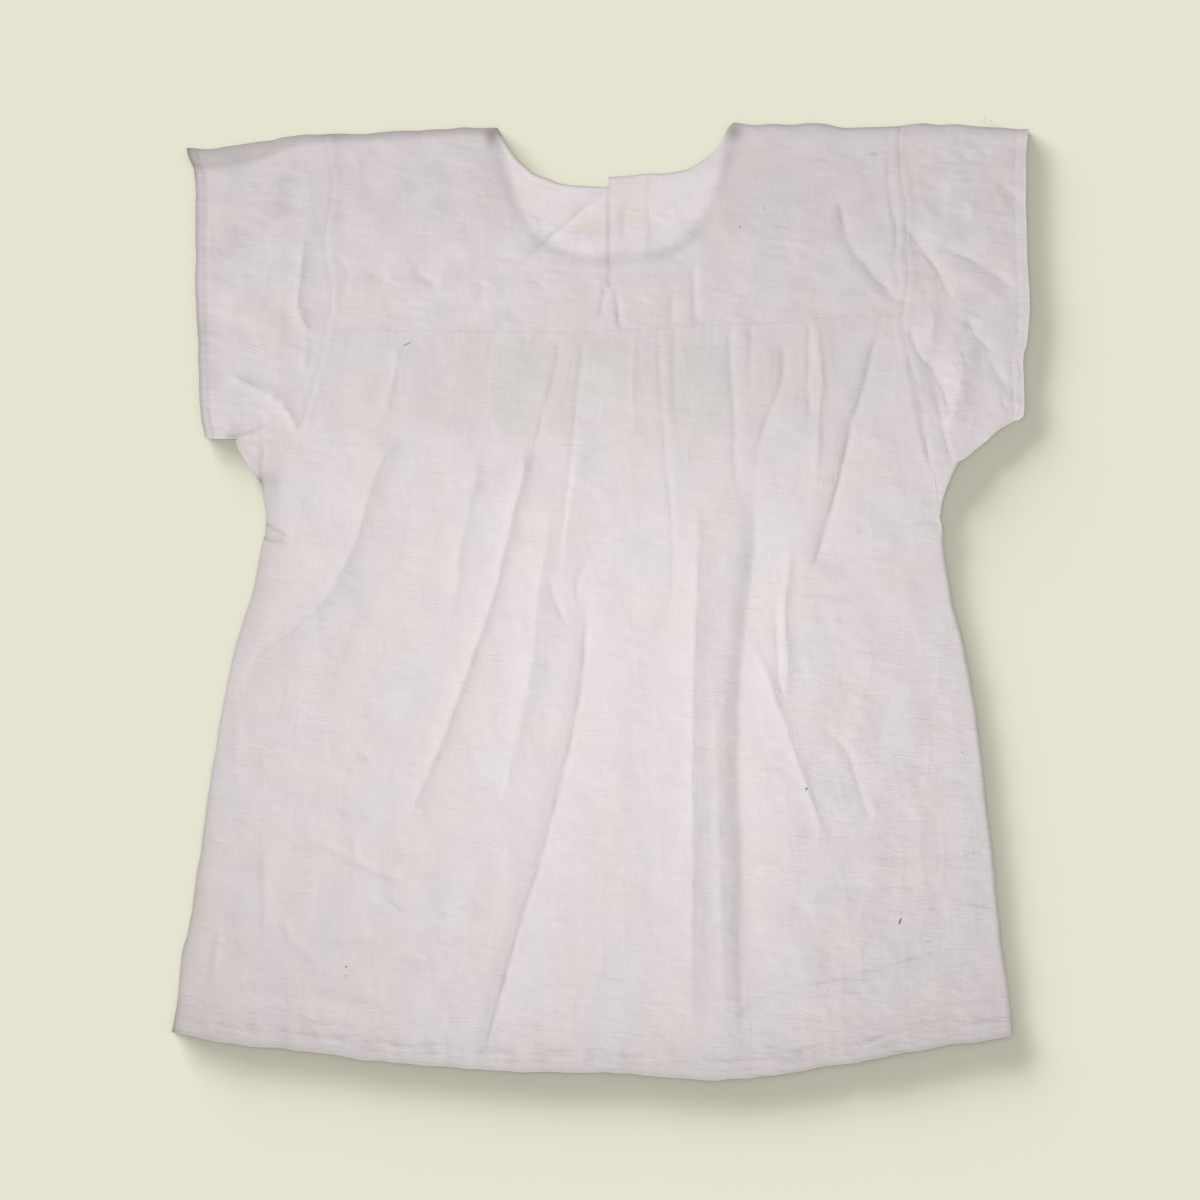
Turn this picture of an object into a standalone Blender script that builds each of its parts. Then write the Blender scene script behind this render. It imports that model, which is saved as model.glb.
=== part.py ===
"""Smock blouse of thin cotton gauze, laid flat with its back up.

The front panel lies on the ground. The back yoke and the pleated back skirt lie on it, and the sleeves are flat
tubes of one cloth. X runs across the blouse, Y from the hem up to the neck, and Z up from the ground. Tables are in
millimetres, measured from the middle of the blouse's outline, and meshes are in metres.
"""

import bpy
import numpy as np

MM = 0.001

# Cloth and how the layers lie, in millimetres
WALL = 1.2
LAYER_GAP = 0.4
SEAM_GAP = 0.35
FRONT_TOP = WALL
BACK_TOP = FRONT_TOP + LAYER_GAP + WALL

# Centre-back slit, in millimetres: where its edge runs, its foot, and how far the right lip laps over the left
SLIT_X = 6.0
SLIT_FOOT_Y = 245.0
LAP = 6.0
LAP_RISE = WALL + LAYER_GAP
LAP_REACH = 26.0

# How finely each piece is divided
SKIRT_COLUMNS, SKIRT_STEP = 50, 21.0
YOKE_LEFT_COLUMNS, YOKE_RIGHT_COLUMNS, YOKE_STEP = 16, 18, 17.0
FRONT_COLUMNS, FRONT_STEP = 16, 70.0
SLEEVE_COLUMNS, SLEEVE_STEP = 7, 18.0
GUSSET_STEPS = 6

# Colours in linear light
CLOTH_WHITE = (0.69, 0.64, 0.63, 1.0)
YOKE_WHITE = (0.65, 0.60, 0.59, 1.0)
SLEEVE_WHITE = (0.67, 0.62, 0.61, 1.0)
FRONT_WHITE = (0.60, 0.56, 0.53, 1.0)
COTTON_ROUGHNESS = 0.92


def table(columns, *rows):
    """A short table: each named column as an array."""
    return dict(zip(columns.split(), np.array(rows, dtype=float).T))


# Side seams, from the underarm down to the hem
SIDES = table(
    "y_left left y_right right",
    (125, -259, 100, 256),
    (95, -263, 78, 260),
    (63, -258, 63, 262),
    (47, -259, 44, 263),
    (32, -263, 17, 268),
    (-14, -274, -14, 273),
    (-60, -287, -60, 284),
    (-122, -298, -122, 293),
    (-184, -307, -184, 300),
    (-230, -315, -230, 306),
    (-276, -323, -276, 310),
    (-331, -330, -334, 316),
)

# Armhole seams, from the shoulder down to the underarm
LEFT_ARMHOLE = table(
    "x y",
    (-212, 360),
    (-208, 336),
    (-206, 318),
    (-212, 290),
    (-213, 274),
    (-208, 240),
    (-210, 209),
    (-216, 184),
    (-224, 155),
    (-229, 140),
    (-239, 130),
    (-259, 125),
)
RIGHT_ARMHOLE = table(
    "x y",
    (229, 366),
    (230, 331),
    (233, 310),
    (235, 290),
    (236, 270),
    (236, 250),
    (233, 221),
    (236, 192),
    (241, 163),
    (245, 143),
    (249, 124),
    (256, 100),
)

# The hem sags below the line between its corners, and the yoke seam dips a little to the left
HEM = table(
    "x y",
    (-330, -331),
    (-284, -340),
    (-223, -346),
    (-161, -353),
    (-99, -359),
    (-38, -362),
    (24, -364),
    (85, -368),
    (147, -362),
    (209, -352),
    (270, -341),
    (316, -334),
)
YOKE_SEAM = table("x y", (-210, 209), (-93, 209), (-14, 208), (42, 211), (97, 214), (181, 220), (233, 221))

# Shoulders and necklines, from left to right
LEFT_SHOULDER = table("x y", (-212, 360), (-186, 360), (-155, 362), (-116, 364), (-80, 365))
RIGHT_SHOULDER = table("x y", (102, 368), (147, 367), (162, 368), (192, 365), (229, 366))
BACK_NECK_LEFT = table("x y", (-80, 365), (-75, 356), (-68, 345), (-55, 331), (-37, 324), (-16, 320), (6, 320))
BACK_NECK_RIGHT = table("x y", (6, 327), (36, 329), (55, 330), (73, 336), (89, 349), (97, 364), (102, 368))
FRONT_NECK = table(
    "x y",
    (-80, 365),
    (-80, 342),
    (-75, 324),
    (-59, 289),
    (-43, 272),
    (-18, 263),
    (5, 261),
    (36, 264),
    (59, 272),
    (78, 287),
    (95, 326),
    (100, 348),
    (102, 368),
)

# Sleeves: the fold on top, the cuff and the seam below
LEFT_SLEEVE_TOP = table("x y", (-319, 349), (-287, 350), (-253, 355), (-214, 360))
LEFT_CUFF = table("x y", (-305, 126), (-309, 155), (-310, 201), (-312, 232), (-312, 321), (-317, 341), (-319, 349))
LEFT_SLEEVE_SEAM = table("x y", (-305, 126), (-281, 125), (-259, 125))
RIGHT_SLEEVE_TOP = table("x y", (229, 366), (271, 367), (294, 366), (329, 365))
RIGHT_CUFF = table("x y", (322, 140), (326, 151), (326, 186), (330, 232), (328, 267), (327, 331), (329, 365))
RIGHT_SLEEVE_SEAM = table("x y", (256, 100), (277, 110), (296, 122), (314, 137), (322, 140))

# Gussets, folded corner to corner: the two ends of the fold, and the corner that is sewn in between sleeve and side
GUSSETS = {
    "gusset_left": {"top": (-282.0, 123.5), "foot": (-267.5, 94.0), "corner": (-261.3, 123.8)},
    "gusset_right": {"top": (276.0, 107.0), "foot": (267.5, 65.0), "corner": (259.0, 100.0)},
}
GUSSET_TIP = 2.6

# Folds of the back and sleeves. Each crest runs through a start, a middle and an end, stands so high, and falls away
# over one width on its left and another on its right, as seen by someone who looks from its end to its start.
FOLDS = table(
    "x0 y0 x1 y1 x2 y2 height left right",
    # sweep from the left pleats to the left side, and the step beside it
    (-161, 198, -189, 55, -270, -68, 5.5, 22, 9),
    (-98, 117, -118, 27, -143, -45, 3.5, 16, 8),
    # long ridges left of the middle
    (-47, 198, -101, -30, -155, -191, 5.5, 10, 8),
    (-42, 101, -62, -50, -74, -191, 3.0, 12, 12),
    (-7, 207, -16, 104, -27, 1, 3.5, 10, 7),
    (2, 20, -21, -153, -79, -338, 4.5, 9, 20),
    # bright band right of the middle, with the valley on its right
    (50, 213, 65, 47, 67, -299, 6.5, 18, 8),
    (152, 194, 126, 78, 109, -153, 5.0, 9, 18),
    (109, -153, 116, -230, 113, -315, 3.0, 10, 14),
    (107, 213, 108, 137, 122, 74, 3.5, 9, 9),
    (163, 216, 166, 150, 158, 63, 3.5, 9, 9),
    (153, 63, 140, -13, 145, -76, 4.0, 10, 8),
    # deep fold at the right side
    (221, 205, 201, 117, 175, 17, 6.5, 8, 20),
    (115, -23, 144, -99, 176, -186, 4.0, 11, 11),
    (169, -89, 189, -117, 207, -175, 3.0, 9, 9),
    # short pleats at the yoke seam
    (-167, 208, -172, 171, -186, 124, 3.0, 9, 8),
    (-88, 208, -90, 171, -93, 124, 3.0, 9, 8),
    (-34, 207, -38, 178, -43, 140, 3.0, 8, 8),
    (27, 211, 25, 178, 27, 132, 3.0, 8, 8),
    (144, 218, 148, 186, 146, 155, 2.5, 8, 8),
    # rumples near the hem and under the left arm
    (-242, -187, -188, -201, -141, -217, 2.5, 9, 9),
    (-203, -263, -162, -253, -132, -253, 2.5, 9, 9),
    (157, -294, 215, -280, 265, -270, 2.5, 9, 9),
    (178, -233, 207, -222, 243, -218, 2.5, 9, 9),
    (-240, 94, -222, 101, -172, 124, 3.0, 9, 9),
    # sleeves
    (-238, 290, -239, 232, -227, 186, 3.0, 14, 8),
    (-248, 288, -278, 267, -298, 254, 2.5, 12, 12),
    (-286, 176, -261, 159, -242, 142, 2.5, 12, 10),
    (246, 289, 259, 259, 276, 229, 2.8, 10, 10),
    (278, 261, 298, 252, 314, 236, 2.2, 9, 9),
    (279, 201, 276, 155, 269, 126, 3.0, 10, 12),
    # yoke
    (-8, 305, -43, 278, -78, 248, 3.0, 13, 12),
    (-155, 259, -132, 248, -112, 240, 2.5, 10, 10),
    (188, 310, 199, 271, 225, 233, 3.0, 11, 11),
)

# Broad swells where air stays between the layers
SWELLS = table(
    "x y height reach_x reach_y",
    (-20, 20, 2.4, 170, 150),
    (-30, -190, 1.6, 190, 110),
    (10, 290, 1.2, 120, 60),
    (-262, 230, 0.9, 36, 70),
    (280, 240, 0.9, 34, 70),
)


def joined(*tables):
    """Several tables of x and y, one after the other, as one line without repeated ends."""
    parts = [np.column_stack((t["x"], t["y"])) for t in tables]
    line = np.vstack([parts[0]] + [part[1:] for part in parts[1:]])
    return line


def travelled(line):
    """How far along the line each of its points lies."""
    return np.concatenate(([0.0], np.cumsum(np.linalg.norm(np.diff(line, axis=0), axis=1))))


def divided(line, steps):
    """The line divided into equal lengths: an array of steps + 1 points."""
    far = travelled(line)
    at = np.linspace(0.0, far[-1], steps + 1)
    return np.column_stack([np.interp(at, far, line[:, axis]) for axis in (0, 1)])


def stepped(line, step, like=None):
    """The line with each stretch between its own points divided into lengths no longer than a step. A line that is
    sewn to another, or faces it across a piece, takes the counts of that one."""
    guide = line if like is None else like
    counts = np.ceil(np.linalg.norm(np.diff(guide, axis=0), axis=1) / step).astype(int)
    shares = [start + np.arange(count) / count for start, count in enumerate(counts)]
    at = np.concatenate(shares + [[len(counts)]])
    return np.column_stack([np.interp(at, np.arange(len(line)), line[:, axis]) for axis in (0, 1)])


def spaced_like(line, other):
    """The line divided at the same shares of its length as the points of another."""
    share = travelled(other) / travelled(other)[-1]
    at = share * travelled(line)[-1]
    return np.column_stack([np.interp(at, travelled(line), line[:, axis]) for axis in (0, 1)])


def patch(bottom, top, left, right):
    """The plan of a cloth between four edge lines, blended evenly between them (a Coons patch)."""
    u = np.linspace(0.0, 1.0, len(bottom))[None, :, None]
    v = np.linspace(0.0, 1.0, len(left))[:, None, None]
    across = (1 - u) * left[:, None, :] + u * right[:, None, :]
    along = (1 - v) * bottom[None, :, :] + v * top[None, :, :]
    low = (1 - u) * bottom[0] + u * bottom[-1]
    high = (1 - u) * top[0] + u * top[-1]
    return across + along - (1 - v) * low - v * high


def fold_relief(x, y, fold):
    """Height of one fold at each point: a bell across its crest line, faded at both ends."""
    t = np.linspace(0.0, 1.0, 13)[:, None]
    start, middle, end = (np.array(fold[name], dtype=float) for name in ("start", "middle", "end"))
    through = 2 * middle - (start + end) / 2
    crest = (1 - t) ** 2 * start + 2 * t * (1 - t) * through + t**2 * end
    ahead = np.diff(crest, axis=0)
    length = np.linalg.norm(ahead, axis=1)
    points = np.stack((x, y), axis=-1)[..., None, :]
    rel = points - crest[:-1]
    share = np.clip((rel * ahead).sum(-1) / length**2, 0.0, 1.0)
    off = rel - share[..., None] * ahead
    distance = np.linalg.norm(off, axis=-1)
    nearest = distance.argmin(axis=-1)[..., None]
    cross = ahead[:, 0] * rel[..., 1] - ahead[:, 1] * rel[..., 0]
    side = np.take_along_axis(cross, nearest, -1)[..., 0]
    away = np.take_along_axis(distance, nearest, -1)[..., 0]
    along = (nearest[..., 0] + np.take_along_axis(share, nearest, -1)[..., 0]) / len(ahead)
    width = np.where(side > 0, fold["right"], fold["left"])
    fade = np.sin(np.pi * np.clip(along, 0.0, 1.0)) ** 0.5
    return fold["height"] * fade * np.exp(-((away / width) ** 2))


def relief(x, y):
    """Height of the back above its lowest place, in millimetres: swells and folds together."""
    total = np.zeros_like(x)
    for cx, cy, height, reach_x, reach_y in zip(*SWELLS.values()):
        total = total + height * np.exp(-(((x - cx) / reach_x) ** 2) - ((y - cy) / reach_y) ** 2)
    for x0, y0, x1, y1, x2, y2, height, left, right in zip(*FOLDS.values()):
        fold = {"start": (x0, y0), "middle": (x1, y1), "end": (x2, y2)}
        fold.update(height=height, left=left, right=right)
        total = total + fold_relief(x, y, fold)
    return total


def grid_quads(index):
    """Quads of a grid of vertex numbers, facing up when columns run along +X and rows along +Y."""
    return np.stack((index[:-1, :-1], index[:-1, 1:], index[1:, 1:], index[1:, :-1]), axis=-1).reshape(-1, 4)


def rim_edges(quads):
    """Edges that only one quad has, in that quad's direction."""
    edges = np.vstack([quads[:, [i, (i + 1) % 4]] for i in range(4)])
    ordered = np.sort(edges, axis=1)
    _, first, count = np.unique(ordered, axis=0, return_index=True, return_counts=True)
    return edges[first[count == 1]]


def add_object(name, vertices, faces, colour):
    """One closed piece of cloth as an object with its own material."""
    mesh = bpy.data.meshes.new(name)
    mesh.from_pydata([tuple(v) for v in vertices * MM], [], [tuple(map(int, f)) for f in faces])
    mesh.update()
    mesh.shade_smooth()
    material = bpy.data.materials.new(name + "_cotton")
    material.use_nodes = True
    shader = material.node_tree.nodes["Principled BSDF"]
    shader.inputs["Base Color"].default_value = colour
    shader.inputs["Roughness"].default_value = COTTON_ROUGHNESS
    shader.inputs["Metallic"].default_value = 0.0
    mesh.materials.append(material)
    piece = bpy.data.objects.new(name, mesh)
    bpy.context.scene.collection.objects.link(piece)
    return piece


def add_sheet(name, plan, top, quads, colour):
    """A wall of cloth: its upper face, the same face one wall lower, and the cut edge all round."""
    count = len(plan)
    upper = np.column_stack((plan, top))
    lower = np.column_stack((plan, top - WALL))
    rim = rim_edges(quads)
    walls = np.column_stack((rim[:, 1], rim[:, 0], rim[:, 0] + count, rim[:, 1] + count))
    faces = np.vstack((quads, quads[:, ::-1] + count, walls))
    return add_object(name, np.vstack((upper, lower)), faces, colour)


def shifted(line, x=0.0, y=0.0):
    return line + np.array((x, y))


def body_edges():
    """The left and right edges of the body, from the hem up the side seam and the armhole to the shoulder."""
    left_side = np.column_stack((SIDES["left"], SIDES["y_left"]))
    right_side = np.column_stack((SIDES["right"], SIDES["y_right"]))
    left = np.vstack((left_side[:0:-1], joined(LEFT_ARMHOLE)[::-1]))
    right = np.vstack((right_side[:0:-1], joined(RIGHT_ARMHOLE)[::-1]))
    return left, right


def add_front_panel():
    """The flat front, with the deeper neckline cut out of its top edge."""
    half = SEAM_GAP / 2
    left_edge, right_edge = body_edges()
    left = shifted(stepped(left_edge, FRONT_STEP), half)
    right = shifted(stepped(right_edge, FRONT_STEP, like=left_edge), -half)
    bottom = divided(joined(HEM), FRONT_COLUMNS)
    top = divided(joined(LEFT_SHOULDER, FRONT_NECK, RIGHT_SHOULDER), FRONT_COLUMNS)
    bottom[[0, -1]] = left[0], right[0]
    top[[0, -1]] = left[-1], right[-1]
    plan = patch(bottom, top, left, right)
    index = np.arange(plan.shape[0] * plan.shape[1]).reshape(plan.shape[:2])
    points = plan.reshape(-1, 2)
    add_sheet("front_panel", points, np.full(len(points), FRONT_TOP), grid_quads(index), FRONT_WHITE)


def add_back_skirt():
    """The lower back: pleats leave the yoke seam and open into long folds."""
    half = SEAM_GAP / 2
    left_edge, right_edge = body_edges()
    left_edge = left_edge[left_edge[:, 1] <= YOKE_SEAM["y"][0]]
    right_edge = right_edge[right_edge[:, 1] <= YOKE_SEAM["y"][-1]]
    left = shifted(stepped(left_edge, SKIRT_STEP), half)
    right = shifted(stepped(right_edge, SKIRT_STEP, like=left_edge), -half)
    bottom = divided(joined(HEM), SKIRT_COLUMNS)
    top = shifted(divided(joined(YOKE_SEAM), SKIRT_COLUMNS), y=-half)
    left[-1, 1] = top[0, 1]
    right[-1, 1] = top[-1, 1]
    bottom[[0, -1]] = left[0], right[0]
    top[[0, -1]] = left[-1], right[-1]
    plan = patch(bottom, top, left, right)
    index = np.arange(plan.shape[0] * plan.shape[1]).reshape(plan.shape[:2])
    points = plan.reshape(-1, 2)
    add_sheet("back_skirt", points, BACK_TOP + relief(*points.T), grid_quads(index), CLOTH_WHITE)


def add_back_yoke():
    """The upper back: two halves that are one cloth below the slit, and lap at the slit above its foot."""
    half = SEAM_GAP / 2
    seam = joined(YOKE_SEAM)
    seam_middle = np.array((SLIT_X, np.interp(SLIT_X, seam[:, 0], seam[:, 1])))
    left_seam = np.vstack((seam[seam[:, 0] < SLIT_X], seam_middle))
    right_seam = np.vstack((seam_middle, seam[seam[:, 0] > SLIT_X]))
    left_edge, right_edge = body_edges()
    left_edge = left_edge[left_edge[:, 1] >= seam[0, 1]]
    right_edge = right_edge[right_edge[:, 1] >= seam[-1, 1]]
    left_outer = shifted(stepped(left_edge, YOKE_STEP), half)
    right_outer = shifted(stepped(right_edge, YOKE_STEP, like=left_edge), -half)
    rows = len(left_outer)
    v = np.linspace(0.0, 1.0, rows)
    bottom_left = shifted(divided(left_seam, YOKE_LEFT_COLUMNS), y=half)
    bottom_right = shifted(divided(right_seam, YOKE_RIGHT_COLUMNS), y=half)
    top_left = divided(joined(LEFT_SHOULDER, BACK_NECK_LEFT), YOKE_LEFT_COLUMNS)
    top_right = divided(joined(BACK_NECK_RIGHT, RIGHT_SHOULDER), YOKE_RIGHT_COLUMNS)
    foot_y = SLIT_FOOT_Y
    low, high_left, high_right = bottom_left[-1, 1], top_left[-1, 1], top_right[0, 1]
    foot_row = round((rows - 1) * (foot_y - low) / (high_left - low))
    climb = np.clip((v - v[foot_row]) / (1 - v[foot_row]), 0.0, 1.0)
    below = low + (foot_y - low) * np.clip(v / v[foot_row], 0.0, 1.0)
    left_lip = np.column_stack((np.full_like(v, SLIT_X), below + climb * (high_left - foot_y)))
    right_lip = np.column_stack((np.full_like(v, SLIT_X), below + climb * (high_right - foot_y)))
    bottom_left[0], bottom_right[-1] = left_outer[0], right_outer[0]
    top_left[0], top_right[-1] = left_outer[-1], right_outer[-1]
    bottom_left[0, 1] += half
    bottom_right[-1, 1] += half
    left_outer[0], right_outer[0] = bottom_left[0], bottom_right[-1]
    left_plan = patch(bottom_left, top_left, left_outer, left_lip)
    right_plan = patch(bottom_right, top_right, right_lip, right_outer)

    # The lips overlap in plan by the lap, which closes to a narrow slot at the row above the foot
    spread = np.zeros(rows)
    spread[foot_row + 1] = -SEAM_GAP
    spread[foot_row + 2 :] = LAP * np.linspace(0.35, 1.0, rows - foot_row - 2)
    reach_left = np.clip(1 - (SLIT_X - left_plan[..., 0]) / LAP_REACH, 0.0, 1.0)
    left_plan[..., 0] += spread[:, None] * reach_left
    left_top = BACK_TOP + relief(left_plan[..., 0], left_plan[..., 1])
    right_top = BACK_TOP + relief(right_plan[..., 0], right_plan[..., 1])

    # The right lip rides over the left one, and both settle into one cloth at the foot
    raised = np.zeros(rows)
    raised[foot_row + 1 :] = LAP_RISE + 0.3
    reach_right = np.clip(1 - (right_plan[..., 0] - SLIT_X) / LAP_REACH, 0.0, 1.0) ** 0.6
    right_top = right_top + raised[:, None] * reach_right
    level = (BACK_TOP + relief(left_plan[..., -2:, 0], left_plan[..., -2:, 1])).min(axis=1)
    under = np.minimum(left_top, level[:, None])
    near = (SLIT_X - left_plan[..., 0] < LAP_REACH / 2) & (raised[:, None] > 0)
    left_top = np.where(near, under, left_top)

    left_index = np.arange(rows * (YOKE_LEFT_COLUMNS + 1)).reshape(rows, -1)
    right_index = left_index.size + np.arange(rows * (YOKE_RIGHT_COLUMNS + 1)).reshape(rows, -1)
    right_index[: foot_row + 1, 0] = left_index[: foot_row + 1, -1]
    points = np.vstack((left_plan.reshape(-1, 2), right_plan.reshape(-1, 2)))
    top = np.concatenate((left_top.ravel(), right_top.ravel()))
    quads = np.vstack((grid_quads(left_index), grid_quads(right_index)))
    used = np.unique(quads)
    renumber = np.zeros(len(points), dtype=int)
    renumber[used] = np.arange(len(used))
    add_sheet("back_yoke", points[used], top[used], renumber[quads], YOKE_WHITE)


def add_sleeve(name, plan):
    """A flat tube. Columns of the plan run along the sleeve, and rows from the seam below to the fold on top."""
    rows, columns = plan.shape[:2]
    height = BACK_TOP + relief(plan[..., 0], plan[..., 1])
    outer, inner = [], []
    for column in range(columns):
        line = plan[:, column]
        ahead = np.gradient(line, axis=0)
        ahead /= np.linalg.norm(ahead, axis=1)[:, None]
        roll = BACK_TOP / 2
        edge_low, edge_high = line[0], line[-1]
        flat = line[1:-1]
        top = height[1:-1, column]
        middle_z = BACK_TOP / 2
        inner_low = edge_low + ahead[0] * (WALL * 1.1)
        inner_high = edge_high - ahead[-1] * (WALL * 1.1)
        low = edge_low + ahead[0] * roll
        high = edge_high - ahead[-1] * roll
        outer.append(
            [(*edge_low, middle_z), (*low, 0.0)]
            + [(*p, 0.0) for p in flat]
            + [(*high, 0.0), (*edge_high, middle_z), (*high, BACK_TOP)]
            + [(*p, z) for p, z in zip(flat[::-1], top[::-1])]
            + [(*low, BACK_TOP)]
        )
        in_low = low + ahead[0] * 0.9
        in_high = high - ahead[-1] * 0.9
        inner.append(
            [(*inner_low, middle_z), (*in_low, WALL)]
            + [(*p, WALL) for p in flat]
            + [(*in_high, WALL), (*inner_high, middle_z), (*in_high, BACK_TOP - WALL)]
            + [(*p, z - WALL) for p, z in zip(flat[::-1], top[::-1])]
            + [(*in_low, BACK_TOP - WALL)]
        )
    outer, inner = np.array(outer), np.array(inner)
    ring = outer.shape[1]
    outside = np.arange(columns * ring).reshape(columns, ring)
    inside = outside + columns * ring
    closed_out = np.column_stack((outside, outside[:, 0]))
    closed_in = np.column_stack((inside, inside[:, 0]))
    skin = grid_quads(closed_out)
    lining = grid_quads(closed_in)[:, ::-1]
    first = np.column_stack((closed_out[0, 1:], closed_out[0, :-1], closed_in[0, :-1], closed_in[0, 1:]))
    last = np.column_stack((closed_out[-1, :-1], closed_out[-1, 1:], closed_in[-1, 1:], closed_in[-1, :-1]))
    faces = np.vstack((skin, lining, first, last))
    vertices = np.vstack((outer.reshape(-1, 3), inner.reshape(-1, 3)))
    outward = signed_volume(vertices, faces) > 0
    add_object(name, vertices, faces if outward else faces[:, ::-1], SLEEVE_WHITE)


def signed_volume(vertices, faces):
    a, b, c, d = (vertices[faces[:, i]] for i in range(4))
    return (np.cross(a, b) * c).sum() + (np.cross(a, c) * d).sum()


def add_sleeves():
    half = SEAM_GAP / 2
    left_armhole = stepped(joined(LEFT_ARMHOLE)[::-1], SLEEVE_STEP)
    left_cuff = spaced_like(joined(LEFT_CUFF), left_armhole)
    left_seam = divided(joined(LEFT_SLEEVE_SEAM), SLEEVE_COLUMNS)
    left_top = divided(joined(LEFT_SLEEVE_TOP), SLEEVE_COLUMNS)
    left_armhole = shifted(left_armhole, -half, half)
    left_seam[-1], left_top[-1] = left_armhole[0], left_armhole[-1]
    add_sleeve("sleeve_left", patch(left_seam, left_top, left_cuff, left_armhole))
    right_armhole = stepped(joined(RIGHT_ARMHOLE)[::-1], SLEEVE_STEP)
    right_cuff = spaced_like(joined(RIGHT_CUFF), right_armhole)
    right_seam = divided(joined(RIGHT_SLEEVE_SEAM), SLEEVE_COLUMNS)
    right_top = divided(joined(RIGHT_SLEEVE_TOP), SLEEVE_COLUMNS)
    right_armhole = shifted(right_armhole, half, 0.0)
    right_seam[0], right_top[0] = right_armhole[0], right_armhole[-1]
    add_sleeve("sleeve_right", patch(right_seam, right_top, right_armhole, right_cuff))


def add_gusset(name, top, foot, corner):
    """A square of cloth folded corner to corner: two walls joined at the fold, deepest at the sewn corner."""
    start, end, corner = (np.array(point) for point in (top, foot, corner))
    length = np.linalg.norm(end - start)
    ahead = (end - start) / length
    inward = np.array((-ahead[1], ahead[0]))
    inward *= np.sign((corner - start) @ inward)
    sewn = ((corner - start) @ ahead) / length
    shares = np.unique(np.concatenate((np.linspace(0.0, 1.0, GUSSET_STEPS + 1), [sewn])))
    depths = np.interp(shares, (0.0, sewn, 1.0), (GUSSET_TIP, (corner - start) @ inward, GUSSET_TIP))
    sections = []
    for share, reach in zip(shares, depths):
        at = start + share * (end - start)
        profile = (
            (reach, 0.0),
            (WALL * 0.6, 0.0),
            (0.0, BACK_TOP / 2),
            (WALL * 0.6, BACK_TOP),
            (reach, BACK_TOP),
            (reach, BACK_TOP - WALL),
            (WALL * 1.6, BACK_TOP - WALL),
            (WALL * 1.1, BACK_TOP / 2),
            (WALL * 1.6, WALL),
            (reach, WALL),
        )
        sections.append([(*(at + inward * across), z) for across, z in profile])
    sections = np.array(sections)
    count = sections.shape[1]
    index = np.arange(sections.shape[0] * count).reshape(-1, count)
    closed = np.column_stack((index, index[:, 0]))
    skin = [tuple(q) for q in grid_quads(closed)]
    caps = []
    for row, turned in ((index[0], True), (index[-1], False)):
        pairs = ((0, 1, 8, 9), (1, 2, 7, 8), (2, 3, 6, 7), (3, 4, 5, 6))
        for pair in pairs:
            cap = tuple(int(row[i]) for i in pair)
            caps.append(cap[::-1] if turned else cap)
    faces = np.array(skin + caps)
    vertices = sections.reshape(-1, 3)
    outward = signed_volume(vertices, faces) > 0
    add_object(name, vertices, faces if outward else faces[:, ::-1], SLEEVE_WHITE)


def clear_scene():
    for item in list(bpy.data.objects):
        bpy.data.objects.remove(item, do_unlink=True)


def main():
    clear_scene()
    add_front_panel()
    add_back_skirt()
    add_back_yoke()
    add_sleeves()
    for name, sizes in GUSSETS.items():
        add_gusset(name, **sizes)


if __name__ == "__main__":
    main()
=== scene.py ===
"""Smock blouse of thin white cotton gauze, laid flat with its back up.

Each cloth is a thin shell on the form of its solid. Its height is a sum of folds, soft swells and small
rumples, all in millimetres from the middle of the blouse. X runs across, Y from hem to neck, Z up.
"""

from collections import namedtuple

import bpy
import numpy as np
from bpy.props import FloatProperty, FloatVectorProperty, PointerProperty
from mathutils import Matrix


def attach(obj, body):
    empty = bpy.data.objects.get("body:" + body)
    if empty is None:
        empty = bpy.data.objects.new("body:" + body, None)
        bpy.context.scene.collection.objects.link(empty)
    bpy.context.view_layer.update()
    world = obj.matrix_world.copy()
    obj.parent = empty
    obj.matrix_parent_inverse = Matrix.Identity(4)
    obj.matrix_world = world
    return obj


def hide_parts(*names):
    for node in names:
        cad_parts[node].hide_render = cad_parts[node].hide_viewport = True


bl_info = {
    "name": "Smock blouse",
    "version": (1, 0, 0),
    "blender": (4, 5, 0),
    "location": "3D View > Sidebar > Blouse",
    "description": "Builds a gauze smock blouse laid flat, with its folds, seams and stitching",
    "category": "Add Mesh",
}

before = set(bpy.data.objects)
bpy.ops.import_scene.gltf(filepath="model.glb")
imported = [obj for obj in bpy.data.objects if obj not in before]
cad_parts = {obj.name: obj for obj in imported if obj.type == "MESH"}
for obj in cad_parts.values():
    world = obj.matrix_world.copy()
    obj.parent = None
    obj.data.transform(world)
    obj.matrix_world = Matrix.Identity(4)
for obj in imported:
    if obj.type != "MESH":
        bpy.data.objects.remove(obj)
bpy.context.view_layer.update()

MM = 0.001

# Outlines, in millimetres. Sides, armholes and cuffs run upwards, and the others from left to right.
LEFT_SIDE = (
    (-330, -331), (-326, -307), (-323, -276), (-316, -245), (-312, -214), (-307, -184), (-303, -153),
    (-298, -122), (-293, -91), (-287, -60), (-280, -30), (-270, 1), (-263, 32), (-260, 47), (-258, 57),
    (-258, 69), (-260, 79), (-262, 95), (-262, 110), (-259, 125),
)  # fmt: skip
RIGHT_SIDE = (
    (316, -334), (314, -307), (310, -276), (306, -245), (303, -214), (300, -184), (296, -153), (293, -122),
    (289, -91), (284, -60), (278, -30), (270, 1), (266, 26), (263, 47), (261, 63), (259, 78), (256, 100),
)  # fmt: skip
HEM = (
    (-330, -331), (-315, -334), (-284, -340), (-253, -343), (-223, -346), (-192, -351), (-161, -354),
    (-130, -357), (-99, -359), (-69, -361), (-38, -362), (-7, -362), (24, -363), (55, -366), (85, -368),
    (116, -366), (147, -362), (178, -357), (209, -352), (239, -346), (270, -341), (301, -337),
    (316, -334),
)  # fmt: skip
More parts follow.
